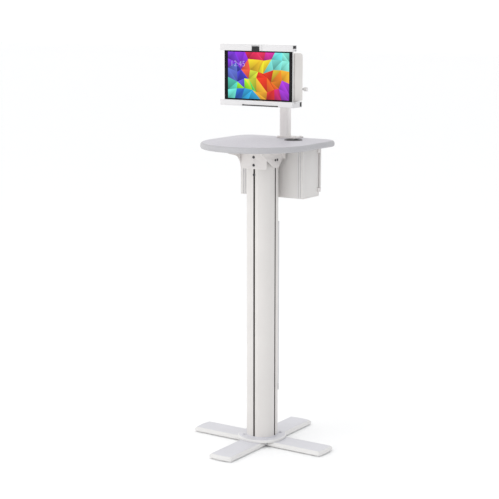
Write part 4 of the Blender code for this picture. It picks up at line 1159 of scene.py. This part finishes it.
def build_jaw():
    low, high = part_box("top_jaw")
    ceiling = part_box("screen_glass")[1].z + 0.0005
    outline = round_corners([(low.y, low.z, 0.001), (GROOVE_FRONT, low.z, 0.0008),
                             (GROOVE_FRONT, ceiling, 0.0004),
                             (GROOVE_REAR, ceiling, 0.0004), (GROOVE_REAR, low.z, 0.0004),
                             (high.y, low.z, 0.0004),
                             (high.y, high.z, 0.0015), (low.y, high.z, 0.0032)], 0.001, 5, closed=True)
    chamber = round_corners([(low.y + 0.002, ceiling + 0.0035), (high.y - 0.002, ceiling + 0.0035),
                             (high.y - 0.002, high.z - 0.002), (low.y + 0.002, high.z - 0.002)], 0.0012, 4,
                            closed=True)
    rail_piece("fine_top_jaw", outline, chamber, high.x, RAIL_WHITE, "top_jaw", ("top_jaw",))
    for node, finish, width in (("jaw_carriage", GREY_PLASTIC, 0.0014),
                                ("rod_crossbar", GREY_PLASTIC, 0.001)):
        part_low, part_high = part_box(node)
        piece = rounded_box("fine_" + node, part_low, part_high, width, 3)
        smooth(piece)
        finish_piece(piece, finish, "top_jaw", (node,))
    for node in ("guide_rod_left", "guide_rod_right"):
        rod_low, rod_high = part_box(node)
        spot = middle(node)
        rod = turned("fine_" + node,
                     [(0, rod_high.z), (0.003, rod_high.z), (0.003, rod_low.z), (0, rod_low.z)],
                     (spot.x, spot.y, 0), "Z", 40, 0.0004)
        finish_piece(rod, ZINC, "top_jaw", (node,))
    latch_low, latch_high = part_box("jaw_latch")
    latch = rounded_box("fine_jaw_latch", latch_low, latch_high, 0.0014, 4)
    for step in range(4):
        z = latch_high.z - 0.0035 - step * 0.0016
        cut(latch, box_mesh((latch_low.x + 0.006, latch_low.y - 0.001, z - 0.0004),
                            (latch_high.x - 0.006, latch_low.y + 0.0005, z + 0.0004)))
    smooth(latch)
    finish_piece(latch, BLACK_PLASTIC, "jaw_latch", ("jaw_latch",))
    half = latch_high.x
    frame_outer = round_corners([(-half - 0.0095, low.z + 0.0006, 0.001),
                                 (-half - 0.0012, low.z + 0.0006, 0),
                                 (-half - 0.0012, latch_high.z + 0.0032, 0.001),
                                 (half + 0.0012, latch_high.z + 0.0032, 0.001),
                                 (half + 0.0012, low.z + 0.0006, 0), (half + 0.0095, low.z + 0.0006, 0.001),
                                 (half + 0.0095, high.z - 0.0008, 0.003),
                                 (-half - 0.0095, high.z - 0.0008, 0.003)], 0.001, 5, closed=True)
    surround = plate("latch_surround", [frame_outer], "XZ", (low.y - 0.0016, low.y - 0.0001), 0.0005, 2, 50)
    finish_piece(surround, RAIL_WHITE, "top_jaw")


def build_spring():
    low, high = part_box("jaw_spring")
    spot = middle("jaw_spring")
    coil_radius, wire, turns, per_turn = 0.0035, 0.0005, 11, 20
    curve = bpy.data.curves.new("fine_jaw_spring", 'CURVE')
    curve.dimensions = '3D'
    curve.bevel_depth = wire
    curve.bevel_resolution = 3
    curve.use_fill_caps = True
    count = turns * per_turn + 1
    spline = curve.splines.new('POLY')
    spline.points.add(count - 1)
    for step, point in enumerate(spline.points):
        angle = 2 * math.pi * step / per_turn
        rise = (high.z - low.z - 2 * wire) * step / (count - 1)
        point.co = (spot.x + coil_radius * math.cos(angle), spot.y + coil_radius * math.sin(angle),
                    low.z + wire + rise, 1)
    spring = link_mesh("fine_jaw_spring", take_mesh("fine_jaw_spring", curve))
    finish_piece(spring, ZINC, "tilt_head", ("jaw_spring",))


def build_housing():
    low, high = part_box("back_housing")
    half = high.x
    step_y = -0.0036
    wall = 0.002
    radius = 0.012
    profile = ([(step_y, low.z), (high.y, low.z)] + arc(high.y - radius, high.z - radius, radius, 0, 90,
                                                        16) + [(step_y, high.z)])
    shell = link_mesh("fine_back_housing", plate_mesh([profile], "YZ", (-half, half)))
    add_bevel(shell, 0.0022, 4, 50)
    apply_modifiers(shell)
    neck = 0.117
    join(shell, box_mesh((-neck, low.y, low.z + 0.0008), (neck, step_y + 0.003, high.z - 0.0008)))
    inner = ([(step_y + wall, low.z + wall), (high.y - wall, low.z + wall)]
             + arc(high.y - radius, high.z - radius, radius - wall, 0, 90,
                   16) + [(step_y + wall, high.z - wall)])
    cut(shell, plate_mesh([inner], "YZ", (-half + wall, half - wall)))
    cut(shell, box_mesh((-neck + wall, low.y - 0.002, low.z + wall),
                        (neck - wall, step_y + wall + 0.001, high.z - wall)))
    for node in ("guide_rod_left", "guide_rod_right"):
        spot = middle(node)
        cut(shell, cylinder_mesh(0.0036, (high.z - 0.006, high.z + 0.004), (spot.x, spot.y, 0), "Z", 40))
    for column in range(11):
        x = -0.050 + column * 0.010
        vent = rounded_rectangle((x - 0.0013, x + 0.0013), (1.232, 1.250), 0.00129, 4)
        cut(shell, plate_mesh([vent], "XZ", (high.y - 0.004, high.y + 0.002)))
    smooth(shell, 30)
    finish_piece(shell, HOUSING_PLASTIC, "tilt_head", ("back_housing",))
    for side_x in (-1, 1):
        for side_z in (-1, 1):
            place = "upper_" if side_z > 0 else "lower_"
            name = "housing_screw_" + place + ("right" if side_x > 0 else "left")
            seat = (side_x * 0.108, high.y + 0.0001, 1.194 + side_z * 0.052)
            socket_screw(name, seat, "Y", 0.0030, 0.0015, "tilt_head", ZINC)
    plate_low, plate_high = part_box("back_plate")
    back = plate("fine_back_plate",
                 [rounded_rectangle((plate_low.x, plate_high.x), (plate_low.z, plate_high.z), 0.004)],
                 "XZ", (plate_low.y, plate_high.y), 0.0003, 2, 60)
    finish_piece(back, ANODISED, "tilt_head", ("back_plate",))
    guide_low, guide_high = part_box("rod_guide")
    guide = rounded_box("fine_rod_guide", guide_low, guide_high, 0.001, 3)
    for node in ("guide_rod_left", "guide_rod_right"):
        spot = middle(node)
        cut(guide, cylinder_mesh(0.0034, (guide_low.z - 0.002, guide_high.z + 0.002), (spot.x, spot.y, 0),
                                 "Z", 40))
    smooth(guide)
    finish_piece(guide, GREY_PLASTIC, "tilt_head", ("rod_guide",))


# ================================================================ tablet

PALETTE = [
    ((0.10, 0.84), (0.22, 0.04, 0.75)), ((0.26, 0.80), (0.30, 0.03, 0.80)),
           ((0.06, 0.55), (0.10, 0.14, 0.55)),
    ((0.38, 0.90), (0.80, 0.02, 0.10)), ((0.52, 0.90), (0.90, 0.03, 0.12)),
           ((0.63, 0.88), (0.85, 0.03, 0.45)),
    ((0.80, 0.90), (0.15, 0.75, 0.75)), ((0.93, 0.78), (0.25, 0.85, 0.70)),
           ((0.75, 0.72), (0.20, 0.75, 0.68)),
    ((0.36, 0.68), (0.90, 0.10, 0.05)), ((0.47, 0.70), (1.00, 0.62, 0.02)),
           ((0.60, 0.66), (1.00, 0.75, 0.02)),
    ((0.80, 0.58), (1.00, 0.70, 0.03)), ((0.95, 0.50), (1.00, 0.42, 0.02)),
           ((0.58, 0.46), (0.95, 0.04, 0.01)),
    ((0.72, 0.36), (0.95, 0.14, 0.01)), ((0.84, 0.42), (0.98, 0.26, 0.01)),
           ((0.38, 0.44), (0.75, 0.85, 0.05)),
    ((0.22, 0.50), (0.06, 0.05, 0.60)), ((0.25, 0.38), (0.12, 0.10, 0.75)),
           ((0.07, 0.36), (0.10, 0.70, 0.55)),
    ((0.06, 0.14), (0.15, 0.78, 0.65)), ((0.28, 0.28), (0.35, 0.90, 0.02)),
           ((0.42, 0.22), (0.08, 0.75, 0.12)),
    ((0.22, 0.10), (0.02, 0.14, 0.60)), ((0.34, 0.08), (0.03, 0.40, 0.75)),
           ((0.54, 0.10), (1.00, 0.45, 0.03)),
    ((0.66, 0.10), (0.95, 0.03, 0.03)), ((0.80, 0.12), (0.85, 0.02, 0.25)),
           ((0.93, 0.12), (0.45, 0.04, 0.80)),
]


def facet_colour(u, v, chance):
    """A tone from the nearest palette spot, made lighter or darker at random from facet to facet."""
    def distance(entry):
        pu, pv = entry[0]
        return (1.5 * (u - pu)) ** 2 + (v - pv) ** 2
    colour = min(PALETTE, key=distance)[1]
    lift = chance.uniform(0.62, 1.12)
    return tuple(min(1.0, c * lift) for c in colour)


def build_picture(x_span, z_span, y):
    """A jittered grid of triangles over the lit area, each with its own colour."""
    chance = random.Random(41)
    columns, rows = 8, 5
    grid = []
    for row in range(rows + 1):
        line = []
        for column in range(columns + 1):
            u, v = column / columns, row / rows
            if 0 < column < columns:
                u += chance.uniform(-0.36, 0.36) / columns
            if 0 < row < rows:
                v += chance.uniform(-0.36, 0.36) / rows
            line.append((u, v))
        grid.append(line)
    work = bmesh.new()
    layer = work.loops.layers.float_color.new("facet_colour")

    def place(u, v):
        return work.verts.new((x_span[0] + u * (x_span[1] - x_span[0]), y,
                               z_span[0] + v * (z_span[1] - z_span[0])))

    corners = [[place(u, v) for u, v in line] for line in grid]
    for row in range(rows):
        for column in range(columns):
            a, b = (row, column), (row, column + 1)
            c, d = (row + 1, column + 1), (row + 1, column)
            halves = ((a, b, c), (a, c, d)) if chance.random() < 0.5 else ((a, b, d), (b, c, d))
            for half in halves:
                points = [grid[r][k] for r, k in half]
                u = sum(p[0] for p in points) / 3
                v = sum(p[1] for p in points) / 3
                colour = facet_colour(u, v, chance)
                face = work.faces.new([corners[r][k] for r, k in half])
                for loop, shade in zip(face.loops, (0.50, 1.0, 1.30)):
                    loop[layer] = (*(min(1.0, c * shade) for c in colour), 1.0)
    return link_mesh("lit_picture", store_mesh("lit_picture", work))


def build_tablet():
    low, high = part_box("screen_glass")
    cover_low, cover_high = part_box("tablet_back_cover")
    corner = 0.007
    half = high.x
    outline = rounded_rectangle((-half, half), (low.z, high.z), corner, 12)
    glass = plate("fine_screen_glass", [outline], "XZ", (low.y, high.y), 0.0004, 3, 60)
    finish_piece(glass, GLASS, "tilt_head", ("screen_glass",))
    picture = build_picture((-0.1138, 0.1160), (low.z + 0.0095, high.z - 0.0095), low.y - 0.00004)
    finish_piece(picture, FACETS, "tilt_head")
    text = bpy.data.curves.new("clock_digits", 'FONT')
    text.body = "12:45"
    text.size = 0.0255
    text.offset = -0.0005
    text.space_character = 1.02
    text.align_x = 'LEFT'
    mesh = take_mesh("clock_digits", text)
    mesh.transform(Matrix.Translation((-0.1050, low.y - 0.00010, 1.2315)) @ PLANE_TURN["XZ"])
    digits = link_mesh("clock_digits", mesh)
    finish_piece(digits, DIGITS, "tilt_head")
    lens = turned("front_camera_lens", [(0, 0.0001), (0.0016, 0.0001), (0.0019, 0), (0, -0.0002)],
                  (0.030, low.y - 0.00002, high.z - 0.0070), "-Y", 32)
    finish_piece(lens, BLACK_PLASTIC, "tilt_head")
    cover = plate("fine_tablet_back_cover", [outline], "XZ", (cover_low.y, cover_high.y))
    add_bevel(cover, 0.0022, 4, 60)
    apply_modifiers(cover)
    inset = rounded_rectangle((-half + 0.0015, half - 0.0015), (low.z + 0.0015, high.z - 0.0015), 0.0055, 12)
    cut(cover, plate_mesh([inset], "XZ", (cover_low.y - 0.002, cover_high.y - 0.0015)))
    for node in ("power_key", "volume_key"):
        key_low, key_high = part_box(node)
        gap = 0.0003
        cut(cover, box_mesh((-half - 0.003, key_low.y - gap, key_low.z - gap),
                            (-half + 0.0025, key_high.y + gap, key_high.z + gap)))
        key = rounded_box("fine_" + node, key_low, key_high, 0.0006, 3)
        smooth(key)
        finish_piece(key, WHITE_PLASTIC, node, (node,))
    smooth(cover, 30)
    finish_piece(cover, WHITE_PLASTIC, "tilt_head", ("tablet_back_cover",))
    panel_low, panel_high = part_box("display_panel")
    panel = rounded_box("fine_display_panel", panel_low, panel_high, 0.0003, 1)
    finish_piece(panel, BLACK_PLASTIC, "tilt_head", ("display_panel",))
    battery_low, battery_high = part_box("tablet_battery")
    battery = rounded_box("fine_tablet_battery", battery_low, battery_high, 0.001, 2)
    finish_piece(battery, GREY_PLASTIC, "tilt_head", ("tablet_battery",))


build_camera()
build_stage()
build_legs()
build_hub()
build_column()
build_worktop()
build_grommet()
build_front_bracket()
build_side_brackets()
build_box()
build_door()
build_raceway()
build_post()
build_tilt_joint()
build_tray()
build_jaw()
build_spring()
build_housing()
build_tablet()
